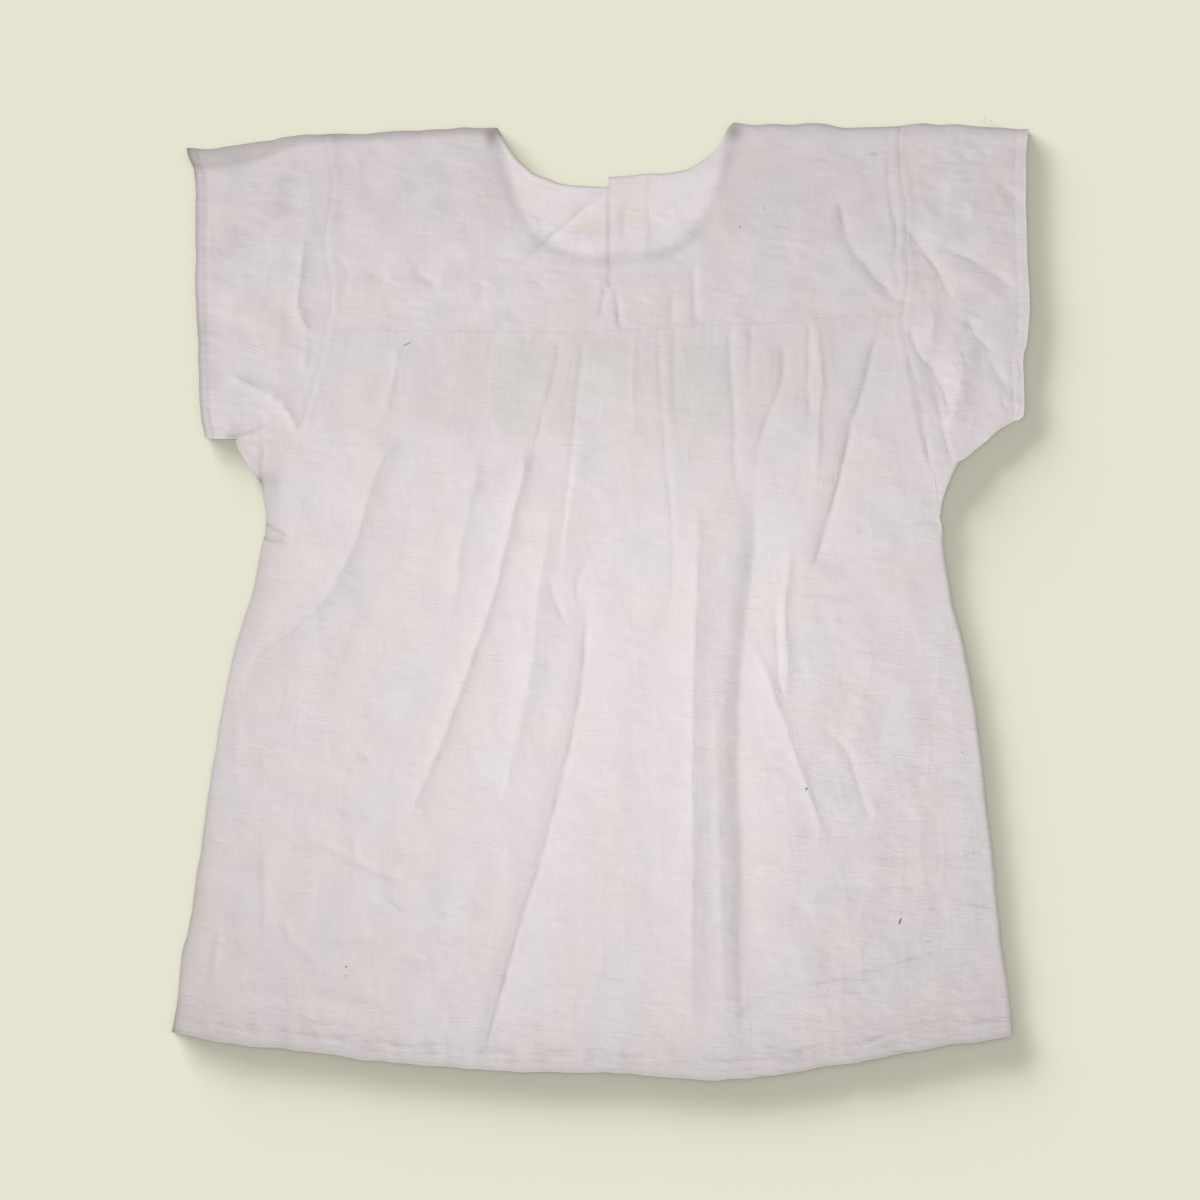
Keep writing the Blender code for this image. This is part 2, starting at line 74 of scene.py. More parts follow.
LEFT_ARMHOLE = (
    (-259, 125), (-243, 127), (-231, 135), (-224, 155), (-216, 184), (-211, 209), (-207, 232), (-209, 255),
    (-212, 274), (-210, 295), (-207, 309), (-206, 326), (-209, 342), (-212, 360),
)  # fmt: skip
RIGHT_ARMHOLE = (
    (256, 100), (249, 124), (241, 163), (236, 192), (232, 218), (236, 247), (235, 266), (235, 287),
    (234, 308), (230, 331), (229, 366),
)  # fmt: skip
YOKE_SEAM = ((-211, 210), (-93, 209), (-14, 208), (42, 212), (97, 214), (141, 216), (181, 220), (232, 221))
LEFT_SHOULDER = ((-212, 360), (-186, 360), (-155, 362), (-116, 364), (-80, 365))
RIGHT_SHOULDER = ((102, 368), (116, 367), (147, 367), (162, 368), (192, 365), (208, 365), (229, 366))
NECK_LEFT = ((-80, 365), (-75, 356), (-68, 345), (-55, 332), (-37, 324), (-27, 321), (-9, 319), (6, 320))
NECK_RIGHT = ((6, 327), (36, 329), (53, 330), (73, 336), (89, 349), (97, 363), (102, 368))
FRONT_NECK = (
    (-80, 365), (-80, 342), (-75, 324), (-69, 307), (-59, 289), (-43, 272), (-18, 263), (5, 261), (36, 264),
    (59, 272), (78, 287), (89, 305), (95, 326), (100, 348), (102, 368),
)  # fmt: skip
LEFT_SLEEVE_TOP = ((-319, 349), (-306, 348), (-287, 350), (-275, 352), (-253, 355), (-245, 357), (-212, 360))
LEFT_CUFF = (
    (-305, 126), (-309, 155), (-310, 201), (-312, 232), (-312, 321), (-313, 331), (-317, 341), (-319, 349),
)  # fmt: skip
LEFT_SLEEVE_SEAM = ((-305, 126), (-285, 125), (-259, 125))
RIGHT_SLEEVE_TOP = ((229, 366), (239, 367), (271, 367), (294, 366), (313, 364), (329, 364))
RIGHT_CUFF = ((322, 140), (326, 148), (325, 186), (328, 201), (330, 232), (328, 267), (327, 331), (329, 364))
RIGHT_SLEEVE_SEAM = ((256, 100), (275, 107), (296, 122), (314, 137), (322, 140))

# Gussets, in millimetres: the two ends of the folded edge, the corner sewn in between sleeve and side, and
# the point that the folded edge bends towards
GUSSETS = {
    "gusset_left": ((-282.0, 124.5), (-262.5, 92.0), (-256.0, 129.0), (-278.0, 110.5)),
    "gusset_right": ((277.0, 109.0), (261.8, 58.0), (250.0, 108.0), (261.0, 80.5)),
}

# The slit: where its edge runs, its foot, and how far the right lip laps over the left, in millimetres
SLIT_X, SLIT_FOOT, SLIT_LAP = 6.0, 245.0, 6.0

# A fold's crest or crease runs through its points, from the neck towards the hem or from left to right. It
# stands so many millimetres high, or deep where negative, and falls away over one width on the left or
# under it, and another on the right or over it. A lower power makes a sharper crest. It grows from nothing
# over a share of its length, and dies away over another. Along its line the cloth may also step down to the
# right, by a height in millimetres.
Fold = namedtuple("Fold", "points height left right power grow die step", defaults=(0.0,))

SKIRT_FOLDS = (
    # pleats and long folds, from the left side to the right
    Fold(((-155, 198), (-161, 161), (-174, 124)), 0.7, 5, 4, 1.6, 0.1, 0.5, 0.2),
    Fold(((-156, 128), (-174, 94), (-188, 47), (-212, 1), (-240, -25), (-264, -45), (-280, -91)),
         2.1, 18, 7, 1.25, 0.08, 0.25, 0.25),
    Fold(((-101, 109), (-147, 57), (-178, 15), (-180, -5), (-211, -40)), -1.2, 15, 13, 2, 0.3, 0.3),
    Fold(((-240, 120), (-252, 60), (-258, 10), (-268, -50)), -1.5, 8, 16, 1.7, 0.2, 0.3),
    Fold(((-255, 91), (-222, 101), (-193, 119), (-172, 124)), -0.8, 3, 5, 1.6, 0.1, 0.4),
    Fold(((-92, 120), (-96, 94), (-106, 47), (-112, 1), (-120, -30)), 0.9, 12, 4, 1.6, 0.2, 0.3, 0.15),
    Fold(((-55, 124), (-60, 94), (-72, 47), (-83, 1), (-99, -45), (-115, -91), (-134, -137), (-154, -182)),
         1.8, 9, 4.5, 1.3, 0.08, 0.2, 0.3),
    Fold(((-37, 207), (-35, 184), (-45, 147), (-52, 118), (-58, 86)), -0.4, 3, 9, 1.2, 0.1, 0.4, 0.25),
    Fold(((-37, 91), (-41, 47), (-48, 1), (-52, -45), (-61, -91), (-71, -137), (-78, -191)),
         1.5, 10, 8, 1.4, 0.2, 0.4, 0.1),
    Fold(((-16, 120), (-20, 94), (-26, 47), (-27, 10)), 0.8, 6, 7, 1.5, 0.3, 0.4, 0.1),
    Fold(((-14, 207), (-18, 165), (-22, 130), (-24, 104), (-32, 45), (-35, 19)),
         -0.45, 3, 4, 1.5, 0.1, 0.3, 0.2),
    Fold(((-42, 19), (-34, -4), (-26, -22)), -0.7, 4, 4, 1.6, 0.3, 0.4, 0.3),
    Fold(((-8, 37), (-18, 17), (-18, -4)), -0.6, 3, 3, 1.6, 0.3, 0.4, 0.2),
    Fold(((-13, 8), (-14, -45), (-21, -91), (-31, -137), (-45, -191), (-62, -245), (-77, -299), (-91, -350)),
         -1.5, 6, 17, 1.35, 0.12, 0.05, 0.5),
    Fold(((-16, 108), (2, 121), (23, 127)), -0.5, 3, 3, 1.6, 0.3, 0.3),
    Fold(((26, 205), (25, 155), (27, 127)), 0.35, 3, 3, 1.6, 0.1, 0.4, 0.15),
    Fold(((43, 216), (47, 137), (52, 84), (55, 45), (53, -7), (45, -28)), -0.35, 3, 3, 1.5, 0.1, 0.3, 0.15),
    Fold(((56, 216), (56, 160), (61, 120)), -0.4, 3, 3, 1.5, 0.1, 0.4, 0.15),
    Fold(((73, 110), (75, 47), (74, 1), (72, -45), (71, -91), (71, -191), (71, -299), (73, -356)),
         2.3, 14, 10, 1.25, 0.2, 0.25, 0.2),
    Fold(((84, -20), (89, -91), (92, -191), (95, -299), (97, -356)), 0.6, 5, 8, 1.6, 0.3, 0.3, 0.12),
    Fold(((99, 216), (99, 179), (102, 137), (103, 97), (110, 74)), -0.6, 3, 4, 1.5, 0.1, 0.3, 0.2),
    Fold(((115, 216), (114, 150)), -0.4, 3, 3, 1.5, 0.1, 0.5, 0.15),
    Fold(((141, 201), (137, 168), (128, 145), (121, 124), (118, 97)), -0.7, 4, 6, 1.4, 0.1, 0.2, 0.4),
    Fold(((119, 116), (118, 71), (117, 29), (112, -10), (108, -45), (106, -91), (106, -137), (108, -191),
          (110, -245), (113, -299), (117, -356)), -3.3, 8, 24, 1.55, 0.18, 0.06, 0.12),
    Fold(((167, 216), (170, 179), (171, 161), (168, 134), (165, 71)), 0.55, 5, 3, 1.5, 0.1, 0.4, 0.35),
    Fold(((159, 216), (159, 171), (159, 124)), -0.4, 3, 3, 1.5, 0.1, 0.4, 0.3),
    Fold(((149, 50), (143, 1), (143, -30), (145, -60), (141, -80)), 1.0, 6, 4, 1.5, 0.25, 0.25, 0.35),
    Fold(((133, 8), (136, -50), (141, -90)), -0.6, 3, 3, 1.5, 0.3, 0.3, 0.2),
    Fold(((212, 209), (208, 194), (200, 160), (193, 140), (182, 94), (169, 47), (160, 20)),
         -1.8, 4.5, 17, 1.3, 0.1, 0.12, 0.5),
    Fold(((115, -23), (131, -63), (144, -99), (159, -141), (167, -165), (176, -186)),
         0.9, 6, 4, 1.3, 0.2, 0.15, 0.35),
    Fold(((169, -89), (176, -104), (189, -117), (199, -147), (207, -175)), -0.7, 3, 5, 1.5, 0.2, 0.2, 0.25),
    # rumples near the hem and the sides
    Fold(((-242, -187), (-214, -187), (-188, -201), (-168, -209), (-141, -217)), -0.8, 3, 3, 1.6, 0.2, 0.2),
    Fold(((-191, -178), (-187, -204)), -0.5, 3, 3, 1.6, 0.3, 0.3),
    Fold(((-203, -263), (-180, -258), (-155, -251), (-132, -253)), -0.7, 3, 3, 1.6, 0.3, 0.3),
    Fold(((-260, -178), (-259, -222), (-259, -266)), -0.7, 3, 8, 1.6, 0.3, 0.3),
    Fold(((-280, -76), (-280, -151)), -0.6, 4, 4, 1.6, 0.3, 0.3),
    Fold(((-293, -243), (-299, -297)), -0.7, 3, 4, 1.6, 0.3, 0.3),
    Fold(((-245, -240), (-237, -261), (-214, -278)), -0.7, 3, 3, 1.6, 0.3, 0.3),
    Fold(((-234, -309), (-222, -328), (-216, -338)), -0.6, 3, 3, 1.6, 0.3, 0.1),
    Fold(((-293, -299), (-209, -307), (-152, -320)), 0.8, 6, 5, 1.8, 0.3, 0.3),
    Fold(((156, -296), (210, -284), (253, -270), (288, -261)), -0.8, 3, 4, 1.6, 0.2, 0.3, 0.35),
    Fold(((178, -233), (202, -223), (243, -218), (263, -214)), -0.8, 3, 4, 1.6, 0.3, 0.3, 0.25),
    Fold(((207, -157), (236, -149)), -0.6, 3, 3, 1.6, 0.3, 0.3, 0.2),
    Fold(((150, -307), (180, -301), (206, -298)), -0.5, 2, 3, 1.5, 0.3, 0.3, 0.35),
    Fold(((219, -332), (235, -326), (263, -321), (283, -316)), -0.6, 2, 3, 1.5, 0.2, 0.3, 0.35),
    Fold(((240, -318), (259, -311), (295, -306)), -0.5, 2, 3, 1.5, 0.2, 0.2, 0.35),
    Fold(((262, -284), (275, -279), (293, -276)), -0.5, 2, 3, 1.5, 0.3, 0.2, 0.3),
    Fold(((269, -200), (282, -195), (295, -192)), -0.5, 2, 3, 1.5, 0.3, 0.2, 0.3),
    Fold(((268, -230), (288, -234), (304, -237)), -0.7, 2.5, 4, 1.5, 0.3, 0.1, 0.35),
    Fold(((122, -341), (146, -345), (166, -351)), -0.6, 2, 3, 1.5, 0.2, 0.3, 0.35),
    Fold(((126, -350), (138, -350), (149, -353)), -0.5, 2, 2.5, 1.5, 0.3, 0.3, 0.3),
    Fold(((180, -341), (196, -339), (212, -333)), -0.5, 2, 2.5, 1.5, 0.3, 0.3, 0.35),
    Fold(((152, -323), (163, -321), (174, -323)), -0.4, 2, 2.5, 1.5, 0.3, 0.3, 0.3),
    # tucks drawn together at both underarms
    Fold(((-262, 124), (-260, 112), (-263, 98)), -0.4, 2.4, 2.2, 1.5, 0.2, 0.2, 0.25),
    Fold(((-259, 61), (-248, 55), (-237, 47)), -1.1, 2.5, 3, 1.5, 0.05, 0.4, 0.6),
    Fold(((-261, 50), (-250, 46), (-235, 46)), -0.9, 2, 3, 1.5, 0.05, 0.4, 0.5),
    Fold(((245, 79), (254, 76), (262, 78)), -0.6, 2, 3, 1.5, 0.4, 0.05, 0.3),
    Fold(((238, 58), (250, 60), (262, 57)), -0.7, 2.5, 3, 1.5, 0.4, 0.05, 0.3),
    Fold(((244, 67), (254, 67), (261, 69)), -0.5, 2, 2.5, 1.5, 0.4, 0.05, 0.25),
    Fold(((152, 6), (184, 7), (220, 12)), -0.8, 3, 3, 1.6, 0.3, 0.3),
)  # fmt: skip
YOKE_FOLDS = (
    Fold(((5, 318), (-24, 294), (-47, 274), (-68, 253)), -1.4, 4, 5, 1.6, 0.05, 0.4, 0.45),
    Fold(((-89, 250), (-95, 222)), -0.7, 5, 5, 1.8, 0.3, 0.3),
    Fold(((-147, 255), (-122, 242)), -0.9, 4, 4, 1.6, 0.3, 0.3),
    Fold(((-180, 250), (-162, 250)), -0.7, 3, 3, 1.6, 0.3, 0.3),
    Fold(((-206, 336), (-186, 338)), -0.7, 3, 3, 1.6, 0.1, 0.4),
    Fold(((55, 239), (55, 226), (53, 210)), -0.7, 3, 3, 1.6, 0.3, 0.3),
    Fold(((71, 264), (72, 236), (74, 209)), -0.8, 3, 3, 1.6, 0.3, 0.2),
    Fold(((182, 312), (186, 286), (192, 272), (208, 252), (229, 229)), -1.2, 3.5, 9, 1.5, 0.15, 0.2, 0.5),
    Fold(((18, 308), (18, 277)), -0.5, 2.5, 2.5, 1.6, 0.3, 0.3),
    Fold(((4, 246), (1, 233), (-2, 214)), -0.6, 3, 4, 1.5, 0.25, 0.4, 0.4),
    Fold(((8, 246), (11, 236), (13, 217), (14, 207)), -0.6, 3, 4, 1.5, 0.25, 0.3, 0.4),
    Fold(((219, 345), (222, 311), (226, 285), (226, 264), (228, 238)), -0.3, 2, 2, 1.6, 0.1, 0.1, 0.3),
    Fold(((-206, 270), (-196, 252), (-202, 230)), -0.5, 4, 4, 1.6, 0.2, 0.3, 0.15),
)
SLEEVE_FOLDS = (
    Fold(((-226, 284), (-230, 249), (-232, 226), (-226, 212), (-217, 203)),
         1.2, 6, 3.5, 1.4, 0.25, 0.15, 0.45),
    Fold(((-225, 205), (-226, 190), (-227, 174)), 0.8, 6, 3, 1.5, 0.3, 0.3, 0.2),
    Fold(((-247, 299), (-280, 276), (-309, 263)), -1.5, 11, 11, 2, 0.3, 0.2),
    Fold(((-290, 178), (-263, 164), (-246, 154), (-236, 140), (-230, 126)), 1.2, 6, 5, 1.5, 0.2, 0.2, 0.3),
    Fold(((-312, 226), (-290, 214), (-262, 212)), -1.1, 8, 8, 2, 0.3, 0.3),
    Fold(((-286, 130), (-270, 135), (-254, 145)), -1.0, 3, 4, 1.4, 0.2, 0.3, 0.3),
    Fold(((-314, 335), (-280, 337), (-260, 343), (-245, 345)), -0.8, 4, 4, 1.7, 0.05, 0.4),
    Fold(((232, 296), (240, 279), (256, 257), (270, 228)), -1.6, 5, 10, 1.3, 0.15, 0.25, 0.4),
    Fold(((250, 275), (282, 263), (300, 252), (320, 236)), -1.3, 5, 8, 1.4, 0.2, 0.15, 0.3),
    Fold(((279, 218), (289, 202), (302, 189)), -1.3, 4, 8, 1.3, 0.2, 0.3, 0.4),
    Fold(((235, 214), (243, 192), (253, 179), (263, 160), (268, 141)), -1.4, 4, 7, 1.3, 0.15, 0.2, 0.4),
    Fold(((277, 198), (279, 176), (274, 150), (267, 129)), 1.35, 8, 8, 1.4, 0.2, 0.2, 0.2),
    Fold(((299, 186), (311, 166), (323, 160)), -1.1, 4, 6, 1.4, 0.2, 0.1, 0.3),
    Fold(((303, 323), (315, 313), (326, 300)), -1.1, 4, 5, 1.5, 0.3, 0.05, 0.3),
    Fold(((253, 232), (257, 212), (250, 197)), 1.1, 6, 5, 1.5, 0.3, 0.3, 0.2),
    Fold(((262, 322), (280, 310), (292, 290)), 0.9, 9, 7, 1.6, 0.3, 0.3, 0.15),
    Fold(((236, 192), (246, 150), (252, 108)), -0.6, 3, 4, 1.5, 0.1, 0.1, 0.3),
    Fold(((254, 176), (262, 134), (270, 103)), -0.6, 3, 4, 1.5, 0.2, 0.1, 0.3),
)

# Broad swells of air between the layers, in millimetres
Swell = namedtuple("Swell", "x y height reach_x reach_y")
SWELLS = (
    Swell(-20, 20, 2.2, 170, 150),
    Swell(-30, -190, 1.5, 190, 110),
    Swell(10, 290, 1.0, 120, 60),
    Swell(-262, 230, 1.3, 36, 70),
    Swell(280, 240, 1.3, 34, 70),
)

# Tints of the cloth: a soft patch of another tone. Each colour multiplies the cloth's own.
Tint = namedtuple("Tint", "x y reach_x reach_y edge red green blue")
TINTS = (
    # the front's band seen through the back: its dense blocks first, then the whole of it
    Tint(-65, 164, 17, 34, 0.20, 0.958, 0.988, 0.965),
    Tint(-30, 164, 15, 34, 0.30, 0.980, 0.988, 0.970),
    Tint(5, 174, 21, 16, 0.15, 1.002, 1.022, 0.995),
    Tint(4, 142, 22, 15, 0.15, 1.022, 1.012, 1.012),
    Tint(5, 192, 23, 9, 0.20, 0.972, 0.985, 0.965),
    Tint(75, 167, 22, 32, 0.18, 0.958, 0.987, 0.967),
    Tint(-115, 166, 26, 34, 0.30, 0.980, 0.975, 0.978),
    Tint(5, 168, 225, 41, 0.07, 0.992, 0.990, 0.983),
    # areas: painted shade by the left side, the lower left and both bottom corners, where the light falls
    # off, and a painted pool of light in the middle of the yoke
    Tint(-262, 30, 22, 75, 0.8, 0.98, 0.977, 0.973),
    Tint(-20, 246, 130, 42, 0.8, 1.035, 1.035, 1.035),
    Tint(-240, -130, 130, 190, 0.7, 0.965, 0.963, 0.955),
    Tint(-285, -305, 90, 45, 0.9, 0.965, 0.958, 0.952),
    Tint(275, -305, 90, 45, 0.9, 0.970, 0.970, 0.966),
    # old stains and soiled spots
    Tint(-10, 291, 9, 7, 0.9, 0.975, 0.935, 0.865),
    Tint(22, 299, 8, 8, 0.9, 0.98, 0.95, 0.885),
    Tint(-19, 226, 12, 11, 0.7, 0.992, 0.985, 0.945),
    Tint(37, 226, 14, 11, 0.7, 0.992, 0.985, 0.945),
    Tint(-85, 354, 3, 7, 0.8, 0.90, 0.88, 0.84),
    Tint(-311, -234, 7, 16, 0.8, 0.98, 0.95, 0.86),
    Tint(70, 114, 12, 12, 0.6, 0.97, 0.97, 0.955),
)


# Worn spots, each an ellipse: its middle, half its length and width in millimetres, its turn in degrees,
# and how much light it still gives back. The darkest are small holes.
Mark = namedtuple("Mark", "x y length width turn light")
MARKS = (
    Mark(230, -246, 3.0, 0.75, 70, 0.25),
    Mark(251, -262, 2.6, 0.7, 30, 0.72),
    Mark(158, -144, 1.3, 0.9, 60, 0.30),
    Mark(278, -116, 1.0, 0.7, 0, 0.65),
    Mark(-196, -281, 1.0, 0.7, 0, 0.35),
    Mark(-196, -288, 0.8, 0.6, 0, 0.55),
    Mark(107, 288, 0.8, 0.8, 0, 0.40),
    Mark(209.5, 344, 4.2, 1.5, 0, 0.84),
    Mark(125.5, 302, 3.6, 0.7, -70, 0.86),
    Mark(-149, 198, 3.8, 0.8, 25, 0.62),
)


def srgb(code):
    """Linear red, green and blue of an sRGB hex code."""
    values = np.array([int(code[i : i + 2], 16) for i in (1, 3, 5)]) / 255
    linear = np.where(values <= 0.04045, values / 12.92, ((values + 0.055) / 1.055) ** 2.4)
    return tuple(float(value) for value in linear)


class BlouseSizes(bpy.types.PropertyGroup):
    """Real sizes of the blouse's cloth and sewing."""

    wall: FloatProperty(name="Cloth", description="Thickness of the gauze", default=0.0007, unit="LENGTH")
    lie: FloatProperty(
        name="Back height",
        description="Height of the back cloth where it has no fold",
        default=0.0032,
        unit="LENGTH",
    )
    loft: FloatProperty(
        name="Loft",
        description="How much higher the middle lies than the edges",
        default=0.0016,
        unit="LENGTH",
    )
    roll: FloatProperty(
        name="Edge roll",
        description="Width over which the outer edges round down",
        default=0.0045,
        unit="LENGTH",
    )
    hem: FloatProperty(name="Hem", description="Depth of the turned hem", default=0.0128, unit="LENGTH")
    cuff: FloatProperty(
        name="Cuff hem",
        description="Depth of the turned cuff",
        default=0.0080,
        unit="LENGTH",
    )
    neck_turn: FloatProperty(
        name="Neck turning", description="Width of the rolled neck edge", default=0.0045, unit="LENGTH"
    )
    stitch: FloatProperty(name="Stitch", description="Length of one stitch", default=0.0026, unit="LENGTH")
    thread: FloatProperty(
        name="Thread",
        description="Radius of the sewing thread",
        default=0.00016,
        unit="LENGTH",
    )
    folds: FloatProperty(
        name="Fold strength",
        description="Share of the folds' real height",
        default=1.0,
        min=0.0,
    )
    rumples: FloatProperty(
        name="Rumples",
        description="Height of the small rumples",
        default=0.00022,
        unit="LENGTH",
    )


class BlouseColours(bpy.types.PropertyGroup):
    """Colours of cloth, thread and ground, in linear light."""

    cloth: FloatVectorProperty(
        name="Cotton gauze", description="Washed white cotton", subtype="COLOR", default=srgb("#ECE2E3")
    )
    thread: FloatVectorProperty(
        name="Thread", description="White sewing thread", subtype="COLOR", default=srgb("#F2ECEC")
    )
    floor: FloatVectorProperty(
        name="Ground", description="Pale cream board", subtype="COLOR", default=srgb("#E2E0CC")
    )


def sizes():
    """The blouse's sizes, as its panel holds them."""
    return bpy.context.scene.blouse_sizes


def smooth(t):
    """Zero up to 0, one from 1, and an even S between."""
    t = np.clip(t, 0.0, 1.0)
    return t * t * (3 - 2 * t)


def quarter(t):
    """A quarter circle: rises steeply from zero and levels off at one."""
    t = np.clip(t, 0.0, 1.0)
    return np.sqrt(1 - (1 - t) ** 2)


def bell(away, width):
    """One where away is nothing, falling evenly to both sides: exp(-(away / width)^2)."""
    return np.exp(-((away / width) ** 2))


def curve(points, count):
    """A smooth line through the points, sampled at equal lengths: each stretch is a cubic whose slope at a
    point is half the way from the point before it to the point after."""
    p = np.array(points, dtype=float)
    ends = np.vstack((2 * p[0] - p[1], p, 2 * p[-1] - p[-2]))
    slope = (ends[2:] - ends[:-2]) / 2
    t = np.linspace(0.0, 1.0, 13)[:-1, None]
    a, b, da, db = p[:-1, None], p[1:, None], slope[:-1, None], slope[1:, None]
    fine = (2 * t**3 - 3 * t**2 + 1) * a + (t**3 - 2 * t**2 + t) * da
    fine = fine + (3 * t**2 - 2 * t**3) * b + (t**3 - t**2) * db
    fine = np.vstack((fine.reshape(-1, 2), p[-1:]))
    return resampled(fine, np.linspace(0.0, 1.0, count))


def run(line):
    """How far along the line each of its points lies."""
    return np.concatenate(([0.0], np.cumsum(np.linalg.norm(np.diff(line, axis=0), axis=1))))


def resampled(line, shares):
    """The line at these shares of its length."""
    far = run(line)
    return np.column_stack([np.interp(shares * far[-1], far, line[:, axis]) for axis in range(line.shape[1])])


def at_levels(line, levels):
    """A line that climbs along Y, at these heights."""
    return np.column_stack((np.interp(levels, line[:, 1], line[:, 0]), levels))


def edged(count):
    """Even shares from 0 to 1, with one more very close to each end."""
    return np.sort(np.append(np.linspace(0.0, 1.0, count - 2), (0.0012, 0.9988)))


def blended(bottom, top, left, right, u, v):
    """The plan of a cloth between four edge lines, blended evenly between them (a Coons patch), at shares u
    across and v up."""
    across = (1 - u) * left[:, None] + u * right[:, None]
    along = (1 - v) * bottom[None] + v * top[None]
    corners = (1 - v) * ((1 - u) * bottom[0] + u * bottom[-1]) + v * ((1 - u) * top[0] + u * top[-1])
    return across + along - corners


def patch(bottom, top, left, right):
    """A blended plan whose shares follow the lengths of the bottom and left lines."""
    u = run(bottom)[None, :, None] / run(bottom)[-1]
    v = run(left)[:, None, None] / run(left)[-1]
    return blended(bottom, top, left, right, u, v)


# How far in millimetres an edge is felt, and how many widths away a fold no longer counts
FARTHEST, FOLD_SPREAD = 60, 3.2


def beside(x, y, points, reach):
    """For each place, its distance from a smooth line through the points, its share along it, and its side:
    +1 to the right of a run towards the hem. Places farther than the reach get the reach."""
    line = curve(points, 6 * len(points) + 1)
    low, high = line.min(axis=0) - reach, line.max(axis=0) + reach
    near = (x > low[0]) & (x < high[0]) & (y > low[1]) & (y < high[1])
    away = np.full(x.shape, float(reach))
    share = np.zeros(x.shape)
    side = np.ones(x.shape)
    if not near.any():
        return away, share, side
    place = np.column_stack((x[near], y[near]))[:, None]
    step = np.diff(line, axis=0)
    rel = place - line[:-1]
    t = np.clip((rel * step).sum(-1) / (step**2).sum(-1), 0.0, 1.0)
    off = np.linalg.norm(rel - t[..., None] * step, axis=-1)
    best = off.argmin(axis=1)[:, None]
    cross = step[:, 0] * rel[..., 1] - step[:, 1] * rel[..., 0]
    away[near] = np.minimum(np.take_along_axis(off, best, 1)[:, 0], reach)
    share[near] = (best[:, 0] + np.take_along_axis(t, best, 1)[:, 0]) / len(step)
    side[near] = np.sign(np.take_along_axis(cross, best, 1)[:, 0])
    return away, share, side


def distance_to(x, y, *lines):
    """Distance of each place from the nearest of some smooth lines, each given by its points. It stops at the
    farthest that any edge is felt."""
    return np.minimum.reduce([beside(x, y, points, FARTHEST)[0] for points in lines])


def lasting(fold, share):
    """How strong a fold is along its line: it grows from one end and dies away at the other."""
    return smooth(share / fold.grow) * smooth((1 - share) / fold.die)


def fold_relief(x, y, fold):
    """Height of one fold: a bell of its power across the crest, growing and dying along it."""
    away, share, side = beside(x, y, fold.points, FOLD_SPREAD * max(fold.left, fold.right))
    width = np.where(side > 0, fold.right, fold.left)
    return fold.height * lasting(fold, share) * np.exp(-((away / width) ** fold.power))


def crease_lines(x, y):
    """For each place, its signed distance in millimetres from the nearest crease line and the line's step
    there. The distance is even across a mesh's cells, so the shader can draw a line finer than they are."""
    reach = 6.0
    nearest, signed, step = np.full(x.shape, reach), np.full(x.shape, reach), np.zeros(x.shape)
    for fold in ALL_FOLDS:
        if fold.step == 0:
            continue
        away, share, side = beside(x, y, fold.points, reach)
        closer = away < nearest
        strength = fold.step * lasting(fold, share) * smooth((reach - away) / 3)
        nearest = np.where(closer, away, nearest)
        signed = np.where(closer, away * side, signed)
        step = np.where(closer, strength, step)
    return np.stack((signed, step * np.clip(0.85 + 0.35 * waves(x, y, 34, 59), 0.3, 1.4)), axis=-1)


def waves(x, y, length, seed, stretch=1.0, slant=0.0, count=22):
    """A smooth uneven field of about unit height: a sum of plane waves of nearly one length in all
    directions, stretched along a slanted line."""
    rng = np.random.default_rng(seed)
    turn = rng.uniform(0.0, 2 * np.pi, count)
    number = 2 * np.pi / length * rng.uniform(0.6, 1.5, count)
    phase = rng.uniform(0.0, 2 * np.pi, count)
    along = (x * np.cos(slant) + y * np.sin(slant)) / stretch
    across = -x * np.sin(slant) + y * np.cos(slant)
    total = np.zeros(x.shape)
    for k in range(count):
        total += np.sin(number[k] * (np.cos(turn[k]) * along + np.sin(turn[k]) * across) + phase[k])
    return total / np.sqrt(count / 2)


def rumple(x, y):
    """Small rumples of washed gauze: soft dents, sharp-edged creases where a field crosses zero, and a fine
    crinkle that runs across the cloth and comes and goes."""
    dents = waves(x, y, 46, 3)
    creases = 1 - np.minimum(np.abs(waves(x, y, 38, 5, 1.6, 1.2)) * 1.6, 1.0)
    crossing = 1 - np.minimum(np.abs(waves(x, y, 22, 11, 2.4, 0.15)) * 1.6, 1.0)
    crinkle = waves(x, y, 7.0, 17, 3.4, 0.0) * smooth(0.5 + 0.6 * waves(x, y, 80, 19))
    return 0.75 * dents + 0.65 * creases + 0.55 * crossing + 0.42 * crinkle


Ground = namedtuple("Ground", "x y reach_x reach_y count slant spread seed")
CREASED = (
    Ground(190, -190, 120, 150, 80, 0.14, 0.3, 61),
    Ground(-190, -220, 120, 120, 26, -0.25, 0.5, 62),
    Ground(10, -300, 260, 55, 26, 0.08, 0.25, 63),
    Ground(-150, 290, 110, 60, 18, -0.1, 0.7, 64),
    Ground(170, 290, 110, 60, 22, 0.1, 0.9, 65),
    Ground(-265, 230, 45, 100, 22, 0.6, 0.6, 66),
    Ground(285, 240, 42, 110, 30, -0.8, 0.6, 67),
    Ground(220, 60, 60, 90, 26, 0.0, 0.4, 68),
    Ground(-220, 40, 60, 100, 14, 0.0, 0.6, 69),
    Ground(0, -60, 150, 180, 22, 0.05, 0.4, 70),
    Ground(-10, -338, 300, 20, 110, 0.0, 0.12, 71),
)


